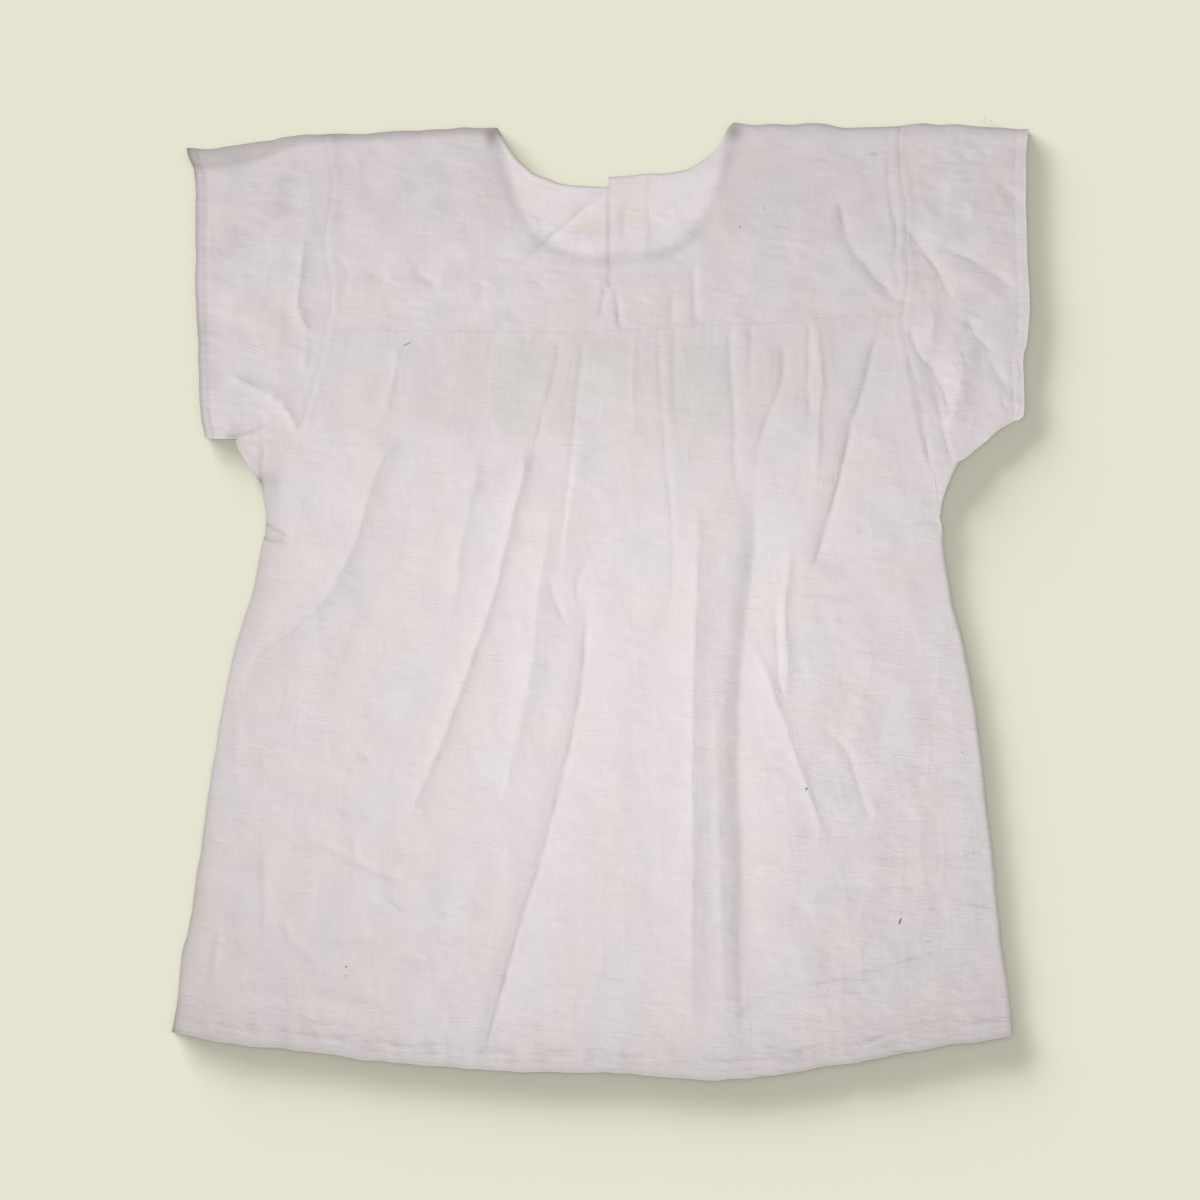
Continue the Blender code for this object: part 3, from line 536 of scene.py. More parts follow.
def little_creases():
    """Short shallow creases strewn over each creased ground, lying about its slant."""
    folds = []
    for g in CREASED:
        rng = np.random.default_rng(g.seed)
        for _ in range(g.count):
            middle = np.array((g.x + g.reach_x * rng.uniform(-1, 1), g.y + g.reach_y * rng.uniform(-1, 1)))
            turn = g.slant + g.spread * rng.uniform(-1, 1)
            half = rng.uniform(5, 17)
            bend = rng.uniform(-0.25, 0.25) * half
            along = np.array((np.cos(turn), np.sin(turn)))
            across = np.array((-np.sin(turn), np.cos(turn)))
            points = (middle - half * along, middle + bend * across, middle + half * along)
            height = rng.choice((-1, 1)) * rng.uniform(0.16, 0.46)
            widths = rng.uniform(1.8, 3.4, 2)
            folds.append(Fold(points, height, *widths, 1.5, 0.4, 0.4, 0.5 * abs(height)))
    return folds


ALL_FOLDS = (*SKIRT_FOLDS, *YOKE_FOLDS, *SLEEVE_FOLDS, *little_creases())


def back_height(x, y):
    """Height of the back cloth in millimetres, the same function for every piece so that they meet at their
    seams."""
    total = sizes().lie / MM + sizes().loft / MM * np.exp(-((x / 225) ** 6) - ((y - 20) / 300) ** 6)
    for swell in SWELLS:
        total += swell.height * bell(x - swell.x, swell.reach_x) * bell(y - swell.y, swell.reach_y)
    for fold in ALL_FOLDS:
        total += sizes().folds * fold_relief(x, y, fold)
    sleeves = (0.4 * smooth((-x - 205) / 30) + 0.9 * smooth((x - 225) / 30)) * smooth((y - 90) / 30)
    corner = smooth((x - 80) / 120) * smooth((40 - y) / 140)
    total += sizes().rumples / MM * (0.9 + sleeves + 0.7 * corner) * rumple(x, y)
    # Deep troughs level off softly above the front.
    floor, margin = 1.9, 0.6
    levelled = floor + margin * np.exp((total - floor - margin) / margin)
    return np.where(total < floor + margin, levelled, total)


def armhole_dip(x, y):
    """Depth of the shallow groove along both armhole seams, with the soft ridge of the seam allowance
    beside it."""
    near = distance_to(x, y, LEFT_ARMHOLE, RIGHT_ARMHOLE)
    return 0.12 * bell(near, 1.3) - 0.14 * bell(near - 4.0, 2.0)


# Rows of small gathers along a seam: their height, their wave's length, a seed, and how far they reach
# beside it
Gathers = namedtuple("Gathers", "height wave seed reach")
HEM_GATHERS = Gathers(0.16, 17.0, 23, 7.0)
CUFF_GATHERS = Gathers(0.22, 8.0, 37, 5.0)
UNDER_YOKE = Gathers(0.05, 11.0, 29, 9.0)
OVER_YOKE = Gathers(0.05, 11.0, 31, 6.0)


def pucker(along, across, gathers):
    """Small gathers along a line of stitches: waves along it, which fade on both sides of it."""
    rng = np.random.default_rng(gathers.seed)
    total = np.zeros(np.broadcast(along, across).shape)
    for _ in range(5):
        length = gathers.wave * rng.uniform(0.6, 1.6)
        total = total + np.sin(along * 2 * np.pi / length + rng.uniform(0, 6.28))
    return gathers.height * total / 2.2 * np.exp(-np.abs(across) / gathers.reach)


def cloth_tint_and_painted_light(x, y):
    """The cloth's tint at each place: a tone brightest in the middle, which is a painted falloff of the
    light, patches of the front seen through, old stains, and painted shade along edges and creases.
    """
    # The tone is lightest in the middle and darker towards the sides, the hem, the top and the right: a
    # painted falloff of the light.
    base = 0.850 - 0.02 * np.tanh(x / 100) - 0.03 * smooth((-120 - y) / 120) - 0.03 * smooth((y - 265) / 40)
    reach_x = np.where(x < -20, 300.0, 290.0)
    down = np.where(y < -60, ((y + 60) / 270) ** 2, ((y + 60) / 213) ** 4)
    tone = base + (1 - base) * np.exp(-(((x + 20) / reach_x) ** 2) - down)
    tint = np.stack((tone, tone, tone), axis=-1)
    for t in TINTS:
        far = np.sqrt(((x - t.x) / t.reach_x) ** 4 + ((y - t.y) / t.reach_y) ** 4) ** 0.5
        share = smooth((1 + t.edge - far) / (2 * t.edge))[..., None]
        tint = tint * (1 - share * (1 - np.array((t.red, t.green, t.blue))))
    # Inside the front's deeper neckline the back lies alone on the pale ground, and the neckline shows as a
    # band.
    front = np.array(FRONT_NECK[1:], dtype=float)
    inside = (y > np.interp(x, *front.T)) & (x > front[0, 0]) & (x < front[-1, 0])
    reach = 24
    away = beside(x, y, FRONT_NECK, reach)[0]
    band = bell(away, 5.0) * (0.75 + 0.25 * waves(x, y, 60, 41)) * smooth(1 - away / reach)
    alone = inside * smooth((away - 1) / 10) * (0.18 - 0.085 * smooth((300 - y) / 20))
    tint = tint * (1 + alone[..., None]) * (1 - band[..., None] * np.array((0.105, 0.105, 0.085)))
    # Washed cloth is a little warmer in some places and cooler in others.
    hue = waves(x, y, 75, 43)[..., None] * np.array((0.004, -0.002, -0.006))
    cast = (waves(x, y, 28, 47, 1.5) * (0.004 + 0.009 * smooth((y - 190) / 40)))[..., None]
    # The painted shade of edges and creases takes a little more blue than red.
    painted_shade_hue = np.array((0.97, 1.0, 1.05))
    return tint * (1 + hue + cast) * (1 - painted_shade_hue * painted_edge_shading(x, y)[..., None])


# The facing's edge beside the slit, and the two corners where neck and shoulders meet
FACING = ((36, 325), (35, 300), (37, 282), (34, 259))
NECK_CORNERS = ((-84, 358), (103, 360))

# Painted shade in creases and folds: the line, its half width in millimetres, and how much it darkens
PAINTED_CREASE_SHADE = (
    (((-239, 322), (-254, 297), (-272, 281), (-292, 268)), 8, 0.055),
    (((-204, 356), (-203, 325), (-204, 296)), 6, 0.045),
    (((-309, 208), (-303, 190), (-296, 172)), 7, 0.050),
    (((-72, 103), (-110, 74), (-147, 40), (-178, 5), (-209, -68)), 8, 0.030),
    (((-287, 126), (-275, 129), (-261, 134)), 1.5, 0.14),
    (((-259, 60), (-250, 55), (-243, 51)), 1.3, 0.08),
    (((-260, 50), (-252, 47), (-241, 46)), 1.3, 0.08),
    (((247, 60), (254, 61), (260, 58)), 1.3, 0.09),
    (((-15, 104), (0, 119), (24, 126)), 1.5, 0.05),
    (((156, -296), (210, -283), (256, -270)), 1.3, 0.06),
    (((212, -154), (238, -149), (275, -139)), 1.4, 0.05),
    (((198, -182), (210, -183), (221, -181)), 1.6, 0.05),
    (((262, -226), (285, -231), (303, -232)), 1.8, 0.06),
    (((106, -317), (124, -305), (150, -297)), 1.4, 0.06),
    (((109, -330), (130, -333), (158, -329)), 1.3, 0.05),
    (((198, -327), (225, -326), (253, -322)), 1.3, 0.05),
    (((118, -347), (135, -350), (152, -351)), 1.3, 0.07),
    (((20, -335), (50, -333), (78, -337)), 1.4, 0.04),
)

# The hem's turning in painted shade, and in painted highlight where the share is negative: how far above its
# edge, in millimetres, and how much the cloth darkens there
HEM_SHADE_AND_HIGHLIGHT = ((15.5, 0.08), (12.0, -0.04), (8.0, 0.06))


def folded_edge(start, end, bend, share):
    """A gusset's folded edge: a quadratic curve between its ends, drawn towards its bend."""
    return (1 - share) ** 2 * start + 2 * share * (1 - share) * bend + share**2 * end


FOLD_TOP, FOLD_FOOT, _, FOLD_BEND = np.array(GUSSETS["gusset_left"])
LEFT_GUSSET_EDGE = folded_edge(FOLD_TOP, FOLD_FOOT, FOLD_BEND, np.linspace(0.0, 1.0, 3)[:, None])
# The left side stops here at the gusset's foot.
LEFT_EDGES = (LEFT_SIDE[:18], LEFT_CUFF)

# Edges with painted shade, or a painted highlight where the share is negative: their lines, and how much they
# darken over which distances in millimetres
PAINTED_EDGE_SHADE = (
    (LEFT_EDGES, ((0.27, 2.3), (0.06, 8), (0.035, 38))),
    ((RIGHT_SIDE, RIGHT_CUFF), ((-0.04, 2.5),)),
    ((LEFT_GUSSET_EDGE,), ((0.10, 8), (0.20, 1.4))),
    ((NECK_LEFT, NECK_RIGHT), ((0.05, 7),)),
)


def painted_edge_shading(x, y):
    """How much painted shade darkens the cloth: where it rounds down over the top of sleeves and shoulders,
    along its sides, neck and the left gusset's fold, in creases, over the hem's turning and edge, and in the
    slit. A negative share is a painted highlight, along the right side and in the hem's turning. The neck
    corners and the facing's edge are also darker."""
    # Painted shade where the cloth rounds down over the tops of sleeves and shoulders
    left_top = distance_to(x, y, LEFT_SLEEVE_TOP, LEFT_SHOULDER)
    right_top = distance_to(x, y, RIGHT_SLEEVE_TOP, RIGHT_SHOULDER)
    deep = 6 + 9 * smooth((-222 - x) / 55)
    grey = 0.20 * smooth((deep + 3 - left_top) / 6) + 0.04 * bell(left_top, 3)
    grey = grey + 0.05 * smooth((11 - right_top) / 5) + 0.09 * bell(right_top, 3)
    # Painted shade along the edges, and a painted highlight along the right side and cuff
    for lines, greys in PAINTED_EDGE_SHADE:
        away = distance_to(x, y, *lines)
        grey = grey + sum(share * bell(away, width) for share, width in greys)
    # More painted shade along the lower left edges, and on the rolled rim of the right neck
    grey = grey + 0.07 * smooth((-110 - y) / 60) * bell(distance_to(x, y, *LEFT_EDGES), 5)
    grey = grey + 0.13 * smooth((x - 45) / 25) * bell(distance_to(x, y, NECK_RIGHT), 1.7)
    # Painted shade in creases and folds
    for line, width, share in PAINTED_CREASE_SHADE:
        grey = grey + share * bell(distance_to(x, y, line), width)
    # Painted shade in the slit; the facing's edge and the neck corners are darker too
    slit = np.where(y > SLIT_FOOT - 4, bell(x - SLIT_X + 0.6, 1.7), 0.0)
    facing = bell(distance_to(x, y, FACING), 1.9) * (0.6 + 0.5 * waves(x, y, 30, 48))
    neck_corners = np.minimum.reduce([np.hypot(x - at[0], y - at[1]) for at in NECK_CORNERS])
    grey = grey + 0.15 * slit + 0.07 * facing + 0.30 * bell(neck_corners, 6)
    # Painted shade and highlight over the hem's turning, and painted shade along the hem's edge
    from_hem = distance_to(x, y, HEM)
    wavering = from_hem - 1.2 * waves(x, y, 60, 50)
    for number, (above, share) in enumerate(HEM_SHADE_AND_HIGHLIGHT):
        uneven = np.clip(0.5 + 0.6 * waves(x, y, 40, 90 + number), 0.0, 1.3) * smooth((x + 305) / 110)
        grey = grey + share * uneven * bell(wavering - above, 1.5)
    return grey + 0.14 * bell(from_hem, 3) + 0.068 * smooth((42 - from_hem) / 40)


def quads_of(index):
    """Faces of a grid of vertex numbers, facing up where columns run along +X and rows along +Y."""
    return np.stack((index[:-1, :-1], index[:-1, 1:], index[1:, 1:], index[1:, :-1]), axis=-1).reshape(-1, 4)


def attribute(mesh, name, values):
    """Stores four numbers at each vertex."""
    layer = mesh.color_attributes.new(name, "FLOAT_COLOR", "POINT")
    layer.data.foreach_set("color", values.astype(np.float32).ravel())


def crinkled(x, y):
    """How strongly the cloth is crinkled: most at the lower right, at the sleeves and along hem and
    shoulders."""
    lower = 0.7 * smooth((x - 60) / 140) * smooth((40 - y) / 160) + 0.8 * smooth((-275 - y) / 50)
    upper = 0.3 * smooth((np.abs(x) - 200) / 30)
    return np.clip(0.16 + lower + upper + 0.30 * waves(x, y, 45, 57), 0.0, 1.4)


def new_piece(name, vertices, faces, material, solid=None, tint=None):
    """One piece: its mesh in metres, its finish, the body it rides on and the solid it stands for. All
    pieces drift by one small uneven field, so that edges waver a little and seams still meet."""
    x, y = vertices[:, 0], vertices[:, 1]
    drift = np.column_stack((0.16 * waves(x, y, 26, 51), 0.30 * waves(x, y, 24, 53), np.zeros(len(x))))
    mesh = bpy.data.meshes.new(name)
    mesh.vertices.add(len(vertices))
    mesh.vertices.foreach_set("co", ((vertices + drift) * MM).astype(np.float32).ravel())
    mesh.loops.add(faces.size)
    mesh.loops.foreach_set("vertex_index", faces.astype(np.int32).ravel())
    mesh.polygons.add(len(faces))
    mesh.polygons.foreach_set("loop_start", np.arange(0, faces.size, faces.shape[1], dtype=np.int32))
    mesh.update(calc_edges=True)
    mesh.shade_smooth()
    if tint is not None:
        full = np.ones(len(x))
        attribute(mesh, "cloth_tint_and_painted_light", np.column_stack((tint.reshape(-1, 3), full)))
        attribute(mesh, "crease", np.column_stack((crease_lines(x, y), crinkled(x, y), full)))
    mesh.materials.append(material)
    piece = bpy.data.objects.new(name, mesh)
    bpy.context.scene.collection.objects.link(piece)
    group("cloth").objects.link(piece)
    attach(piece, "root")
    if solid:
        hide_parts(solid)
    return piece


def grid_piece(name, grid, solid, closed=False, flipped=False):
    """A cloth piece from a grid of points. A closed one joins its last row to its first, and a flipped one
    turns its faces over."""
    x, y = grid[..., 0], grid[..., 1]
    index = np.arange(x.size).reshape(x.shape)
    if closed:
        index = np.vstack((index, index[:1]))
    faces = quads_of(index)
    if flipped:
        faces = faces[:, ::-1]
    return new_piece(name, grid.reshape(-1, 3), faces, cotton_gauze(), solid, cloth_tint_and_painted_light(x, y))


def thicken(piece, wall):
    """Gives an open cloth its thickness, inwards from its outer face."""
    shell = piece.modifiers.new("Cloth", "SOLIDIFY")
    shell.thickness = wall
    shell.offset = -1.0
    shell.use_quality_normals = True


def node(tree, kind, feeds=(), **settings):
    """Adds a node. Settings name its attributes or its inputs. Feeds are (source, input) pairs, where a
    source is another node's output or a constant."""
    made = tree.nodes.new(kind)
    for key, value in settings.items():
        if hasattr(made, key):
            setattr(made, key, value)
        else:
            made.inputs[key.replace("_", " ")].default_value = value
    for source, name in feeds:
        if isinstance(source, bpy.types.NodeSocket):
            tree.links.new(source, made.inputs[name])
        else:
            made.inputs[name].default_value = source
    return made


def new_material(name):
    """A new material with its nodes, its shader and the object's own places."""
    material = bpy.data.materials.new(name)
    material.use_nodes = True
    tree = material.node_tree
    place = node(tree, "ShaderNodeTexCoord").outputs["Object"]
    return material, tree, tree.nodes["Principled BSDF"], place


def gauze_relief(tree, place):
    """Weave, crepe and creases of the gauze. It gives the threads' value, the shade that stays in the
    creases and the normal."""
    # Threads lie 0.5 mm apart in such gauze, too fine to show. The slubs are drawn 1.6 mm apart and 14 mm
    # long.
    slubs = []
    for scale in ((75.0, 620.0, 75.0), (620.0, 75.0, 75.0)):
        laid = node(tree, "ShaderNodeMapping", [(place, "Vector")], Scale=scale).outputs["Vector"]
        slub = node(tree, "ShaderNodeTexNoise", [(laid, "Vector")], Scale=1.0, Detail=2.0, Roughness=0.6)
        slubs.append((slub.outputs["Fac"], len(slubs)))
    threads = node(tree, "ShaderNodeMath", slubs, operation="ADD").outputs["Value"]
    weave = node(tree, "ShaderNodeBump", [(threads, "Height")], Strength=0.45, Distance=0.0002)
    # Crepe runs across the cloth, 4 to 8 mm from ridge to ridge. Its ridges are sharp where the cloth is
    # crinkled.
    crepe_scale, crepe_turn = (42.0, 165.0, 42.0), (0.0, 0.0, 0.05)
    bent = node(tree, "ShaderNodeMapping", [(place, "Vector")], Scale=crepe_scale, Rotation=crepe_turn)
    across = [(bent.outputs["Vector"], "Vector"), (1.0, "Scale")]
    soft = node(tree, "ShaderNodeTexNoise", across, Detail=3.0, Roughness=0.55, Distortion=0.6).outputs["Fac"]
    sharp = node(
        tree,
        "ShaderNodeTexNoise",
        across,
        noise_type="RIDGED_MULTIFRACTAL",
        Detail=4.0,
        Roughness=0.6,
        Distortion=0.9,
        Gain=1.6,
        Offset=0.85,
    ).outputs["Fac"]
    marks = node(tree, "ShaderNodeVertexColor", layer_name="crease").outputs["Color"]
    split = node(tree, "ShaderNodeSeparateColor", [(marks, "Color")])
    signed, step, amount = (split.outputs[name] for name in ("Red", "Green", "Blue"))
    crisp = node(tree, "ShaderNodeMath", [(sharp, 0), (amount, 1)], operation="MULTIPLY").outputs["Value"]
    crepe = node(tree, "ShaderNodeMath", [(crisp, 0), (0.34, 1), (soft, 2)], operation="MULTIPLY_ADD")
    relief = [(crepe.outputs["Value"], "Height"), (weave.outputs["Normal"], "Normal")]
    crimp = node(tree, "ShaderNodeBump", relief, Strength=1.0, Distance=0.00042).outputs["Normal"]
    # A crease steps down over a millimetre, and a little shade stays in it.
    scaled = node(tree, "ShaderNodeMath", [(signed, 0), (0.85, 1)], operation="MULTIPLY").outputs["Value"]
    fall = node(tree, "ShaderNodeMath", [(scaled, 0)], operation="TANH").outputs["Value"]
    drop = node(tree, "ShaderNodeMath", [(fall, 0), (step, 1)], operation="MULTIPLY").outputs["Value"]
    relief = [(drop, "Height"), (crimp, "Normal")]
    creased = node(tree, "ShaderNodeBump", relief, invert=True, Strength=1.0, Distance=0.00036)
    level = node(tree, "ShaderNodeMath", [(fall, 0), (fall, 1)], operation="MULTIPLY").outputs["Value"]
    inside = node(tree, "ShaderNodeMath", [(1.0, 0), (level, 1)], operation="SUBTRACT").outputs["Value"]
    shade = node(tree, "ShaderNodeMath", [(inside, 0), (step, 1)], operation="MULTIPLY").outputs["Value"]
    return threads, shade, creased.outputs["Normal"]


def gauze_colour(tree, place, threads, shade):
    """The cloth's own colour with its tint and its painted light and shade, a little uneven by its threads,
    with painted shade in its creases, and worn in spots."""
    colour_with_painted_light = node(tree, "ShaderNodeVertexColor", layer_name="cloth_tint_and_painted_light").outputs["Color"]
    uneven = node(
        tree,
        "ShaderNodeMapRange",
        [(threads, "Value")],
        From_Min=0.7,
        From_Max=1.3,
        To_Min=0.972,
        To_Max=1.022,
    ).outputs["Result"]
    cloth = (*bpy.context.scene.blouse_colours.cloth, 1.0)
    mixed = [(1.0, "Factor"), (cloth, 6), (colour_with_painted_light, 7)]
    base = node(tree, "ShaderNodeMix", mixed, data_type="RGBA", blend_type="MULTIPLY").outputs[2]
    light = node(tree, "ShaderNodeMath", [(shade, 0), (-0.13, 1), (uneven, 2)], operation="MULTIPLY_ADD")
    scaled = [(base, 0), (light.outputs["Value"], "Scale")]
    colour = node(tree, "ShaderNodeVectorMath", scaled, operation="SCALE").outputs["Vector"]
    for mark in MARKS:
        seat = node(
            tree,
            "ShaderNodeMapping",
            [(place, "Vector")],
            vector_type="TEXTURE",
            Location=(mark.x * MM, mark.y * MM, 0.0),
            Rotation=(0.0, 0.0, np.radians(mark.turn)),
            Scale=(mark.length * MM, mark.width * MM, 1000.0),
        ).outputs["Vector"]
        off = node(tree, "ShaderNodeVectorMath", [(seat, 0)], operation="LENGTH").outputs["Value"]
        limits = {"From_Min": 0.6, "From_Max": 1.2, "To_Min": mark.light}
        spot = node(tree, "ShaderNodeMapRange", [(off, "Value")], **limits)
        scaled = [(colour, 0), (spot.outputs["Result"], "Scale")]
        colour = node(tree, "ShaderNodeVectorMath", scaled, operation="SCALE").outputs["Vector"]
    return colour


def cotton_gauze():
    """Cotton gauze, washed and matt: an open plain weave of uneven slubby threads. The eye gets a soft
    white that is never shiny, faint lines along both thread directions, and a fine crepe across the
    cloth."""
    name = "washed_cotton_gauze"
    if name in bpy.data.materials:
        return bpy.data.materials[name]
    material, tree, shader, place = new_material(name)
    threads, shade, normal = gauze_relief(tree, place)
    tree.links.new(gauze_colour(tree, place, threads, shade), shader.inputs["Base Color"])
    tree.links.new(normal, shader.inputs["Normal"])
    shader.inputs["Roughness"].default_value = 0.94
    shader.inputs["IOR"].default_value = 1.47
    shader.inputs["Specular IOR Level"].default_value = 0.2
    shader.inputs["Sheen Weight"].default_value = 0.12
    shader.inputs["Sheen Roughness"].default_value = 0.6
    return material


def two_tones(tree, share, colour, dark):
    """A colour that a share from 0 to 1 leads from a little darker to full."""
    colour = np.array(colour)
    ends = [(share, "Factor"), ((*(colour * dark), 1.0), 6), ((*colour, 1.0), 7)]
    return node(tree, "ShaderNodeMix", ends, data_type="RGBA").outputs[2]


def cotton_thread():
    """Cotton sewing thread, spun and matt: a touch smoother and whiter than the cloth, with a fine
    twist."""
    name = "cotton_thread"
    if name in bpy.data.materials:
        return bpy.data.materials[name]
    material, tree, shader, place = new_material(name)
    # A two-ply twist repeats about every 0.8 mm along the thread.
    twist = node(tree, "ShaderNodeTexNoise", [(place, "Vector")], Scale=1250.0, Detail=1.0, Roughness=0.5)
    twist = twist.outputs["Fac"]
    bump = node(tree, "ShaderNodeBump", [(twist, "Height")], Strength=0.5, Distance=0.0001)
    colour = two_tones(tree, twist, bpy.context.scene.blouse_colours.thread, 0.9)
    tree.links.new(colour, shader.inputs["Base Color"])
    tree.links.new(bump.outputs["Normal"], shader.inputs["Normal"])
    shader.inputs["Roughness"].default_value = 0.8
    shader.inputs["IOR"].default_value = 1.5
    return material


def cream_board():
    """Painted board, matt: a pale cream ground with a barely uneven tone."""
    material, tree, shader, place = new_material("cream_board")
    cloud = node(tree, "ShaderNodeTexNoise", [(place, "Vector")], Scale=3.0, Detail=2.0, Roughness=0.5)
    colour = two_tones(tree, cloud.outputs["Fac"], bpy.context.scene.blouse_colours.floor, 0.995)
    tree.links.new(colour, shader.inputs["Base Color"])
    shader.inputs["Roughness"].default_value = 0.95
    shader.inputs["Specular IOR Level"].default_value = 0.1
    return material


def side_lines():
    """The body's left and right edges from hem to shoulder, as smooth climbing lines."""
    left = np.vstack((curve(LEFT_SIDE, 400), curve(LEFT_ARMHOLE, 300)[1:]))
    right = np.vstack((curve(RIGHT_SIDE, 400), curve(RIGHT_ARMHOLE, 300)[1:]))
    return left, right


def add_front():
    """The front lies flat underneath, with its deeper neckline. Its cloth is level, so its form is its
    outline."""
    left, right = side_lines()
    rows, columns = 130, 120
    inside, level, wall = 0.6, 1.15, 0.0010
    left_edge = at_levels(left, np.linspace(left[0, 1], left[-1, 1], rows))
    right_edge = at_levels(right, np.linspace(right[0, 1], right[-1, 1], rows))
    top = np.vstack((curve(LEFT_SHOULDER, 60), curve(FRONT_NECK, 120)[1:], curve(RIGHT_SHOULDER, 60)[1:]))
    top = resampled(top, np.linspace(0.0, 1.0, columns))
    plan = patch(curve(HEM, columns), top, left_edge, right_edge)
    outwards = plan - plan.mean(axis=(0, 1))
    plan = plan - inside * outwards / np.linalg.norm(outwards, axis=-1, keepdims=True)
    grid = np.concatenate((plan, np.full((*plan.shape[:2], 1), level)), axis=-1)
    piece = grid_piece("front_cloth", grid, "front_panel")
    thicken(piece, wall)


def skirt_plan(columns, rows_up, rows_hem):
    """Plan of the lower back. Rows are close together over the hem and wider above it. Its threads run
    evenly between two plain curves, and near the sides they follow the sides' own turns."""
    hem_top = 1.5 * sizes().hem / MM
    left, right = side_lines()
    bottom = curve(HEM, columns)
    top = curve(YOKE_SEAM, columns) + (0.0, 2.0)
    height, turned = 543.0, 0.16
    steps = np.concatenate((np.linspace(0, hem_top, rows_hem)[:-1], np.linspace(hem_top, height, rows_up)))
    share = steps / height
    left_levels = left[0, 1] + share * (top[0, 1] - left[0, 1])
    right_levels = right[0, 1] + share * (top[-1, 1] - right[0, 1])
    left_even = at_levels(curve((LEFT_SIDE[0], (-298, -130), (-262, 50), tuple(top[0])), 300), left_levels)
    right_even = at_levels(curve((RIGHT_SIDE[0], (294, -130), (264, 50), tuple(top[-1])), 300), right_levels)
    u = np.linspace(0.0, 1.0, columns)[None, :, None]
    plan = blended(bottom, top, left_even, right_even, u, share[:, None, None])
    plan = plan + (at_levels(left, left_levels) - left_even)[:, None] * smooth(1 - u / turned)
    return plan + (at_levels(right, right_levels) - right_even)[:, None] * smooth(1 - (1 - u) / turned)


def hem_height(x, z, from_hem):
    """A height over the turned hem: the hem lies flatter than the cloth, its second layer lifts it, its
    stitches draw it down in a line, and small gathers cross them."""
    above = from_hem - sizes().hem / MM
    z = z - (z - 3.0) * 0.5 * bell(from_hem, 26)
    z = z + 0.38 * smooth((1.5 - above) / 2.5) - 0.14 * bell(above, 1.2)
    return z + pucker(x, above, HEM_GATHERS)


def add_skirt():
    """The lower back: the common height field, rounded down at both sides, with a turned hem that folds
    under."""
    s = sizes()
    plan = skirt_plan(430, 188, 16)
    x, y = plan[..., 0], plan[..., 1]
    z = back_height(x, y)
    from_left = np.abs(x - x[:, :1])
    from_right = np.abs(x - x[:, -1:])
    from_hem = y - y[:1]
    below_left = smooth((94 - y[:, :1]) / 12)
    below_right = smooth((58 - y[:, -1:]) / 12)
    roll, hem = s.roll / MM, s.hem / MM
    calm_height, edge_height = 2.7, 1.5
    drop = below_left * (1 - quarter(from_left / roll)) + below_right * (1 - quarter(from_right / roll))
    calm = below_left * bell(from_left, 16) + below_right * bell(from_right, 16)
    z = z - (z - calm_height) * 0.6 * calm
    z = z - (z - edge_height) * np.clip(drop, 0.0, 1.0)
    z = hem_height(x, z, from_hem)
    valley = np.clip(0.55 + 0.6 * waves(x, y, 50, 52), 0.0, 1.3)
    z = z - 0.32 * valley * bell(from_hem - 0.66 * hem, 1.7)
    # Small gathers under the yoke seam, where the cloth slips beneath the yoke
    seam = np.interp(x, *np.array(YOKE_SEAM, dtype=float).T) - y
    z = z + pucker(x, seam, UNDER_YOKE)
    z = z - armhole_dip(x, y) - 1.0 * smooth((0.5 - seam) / 1.1)
    # The hem folds under in a half circle, and its turned layer follows the sides a little inside them.
    around = np.linspace(0.0, 1.0, 4)[1:] * np.pi
    radius, narrowed = 0.55, 0.998
    fold_y = y[0] - radius * np.sin(around)[:, None]
    fold_z = z[0] - radius * (1 - np.cos(around))[:, None]
    under = slice(1, int(np.searchsorted(from_hem[:, 0], hem)) + 1)
    under_z = np.broadcast_to(z[0] - 2 * radius, y[under].shape)
    x = np.vstack((x[under][::-1] * narrowed, np.broadcast_to(x[0], fold_y.shape), x))
    y = np.vstack((y[under][::-1], fold_y[::-1], y))
    z = np.vstack((under_z, fold_z[::-1], z))
    piece = grid_piece("back_skirt_cloth", np.stack((x, y, z), axis=-1), "back_skirt")


def yoke_edges(rows):
    """Edges of the yoke's two halves: seams, necklines with shoulders, armholes and the slit's line."""
    left, right = side_lines()
    seam = curve(YOKE_SEAM, 400)
    split = np.searchsorted(seam[:, 0], SLIT_X)
    left_seam, right_seam = seam[: split + 1], seam[split:]
    left_top = np.vstack((curve(LEFT_SHOULDER, 80), curve(NECK_LEFT, 80)[1:]))
    right_top = np.vstack((curve(NECK_RIGHT, 80), curve(RIGHT_SHOULDER, 80)[1:]))
    left_arm = at_levels(left, seam[0, 1] + edged(rows) * (left[-1, 1] - seam[0, 1]))
    right_arm = at_levels(right, seam[-1, 1] + edged(rows) * (right[-1, 1] - seam[-1, 1]))
    return left_seam, right_seam, left_top, right_top, left_arm, right_arm


def yoke_height(x, y, top_points, neck_points):
    """The common height, rounded down at the shoulder and the neck, with the neck's rolled edge."""
    s = sizes()
    z = back_height(x, y) - armhole_dip(x, y)
    shoulder = distance_to(x, y, top_points)
    neck = distance_to(x, y, neck_points)
    edge_height = 1.3
    z = z - (z - edge_height) * (1 - quarter(shoulder / (s.roll / MM)))
    z = z - (z - 2.0) * 0.6 * bell(neck, 26)
    z = z - (z - edge_height) * (1 - quarter(neck / 2.2))
    turn = s.neck_turn / MM
    z = z + 0.12 * smooth((turn + 0.6 - neck) / 1.2) - 0.14 * bell(neck - turn - 0.4, 0.8)
    seam = y - np.interp(x, *np.array(YOKE_SEAM, dtype=float).T)
    return z + pucker(x, seam, OVER_YOKE) + 0.08 * bell(seam, 2.0)


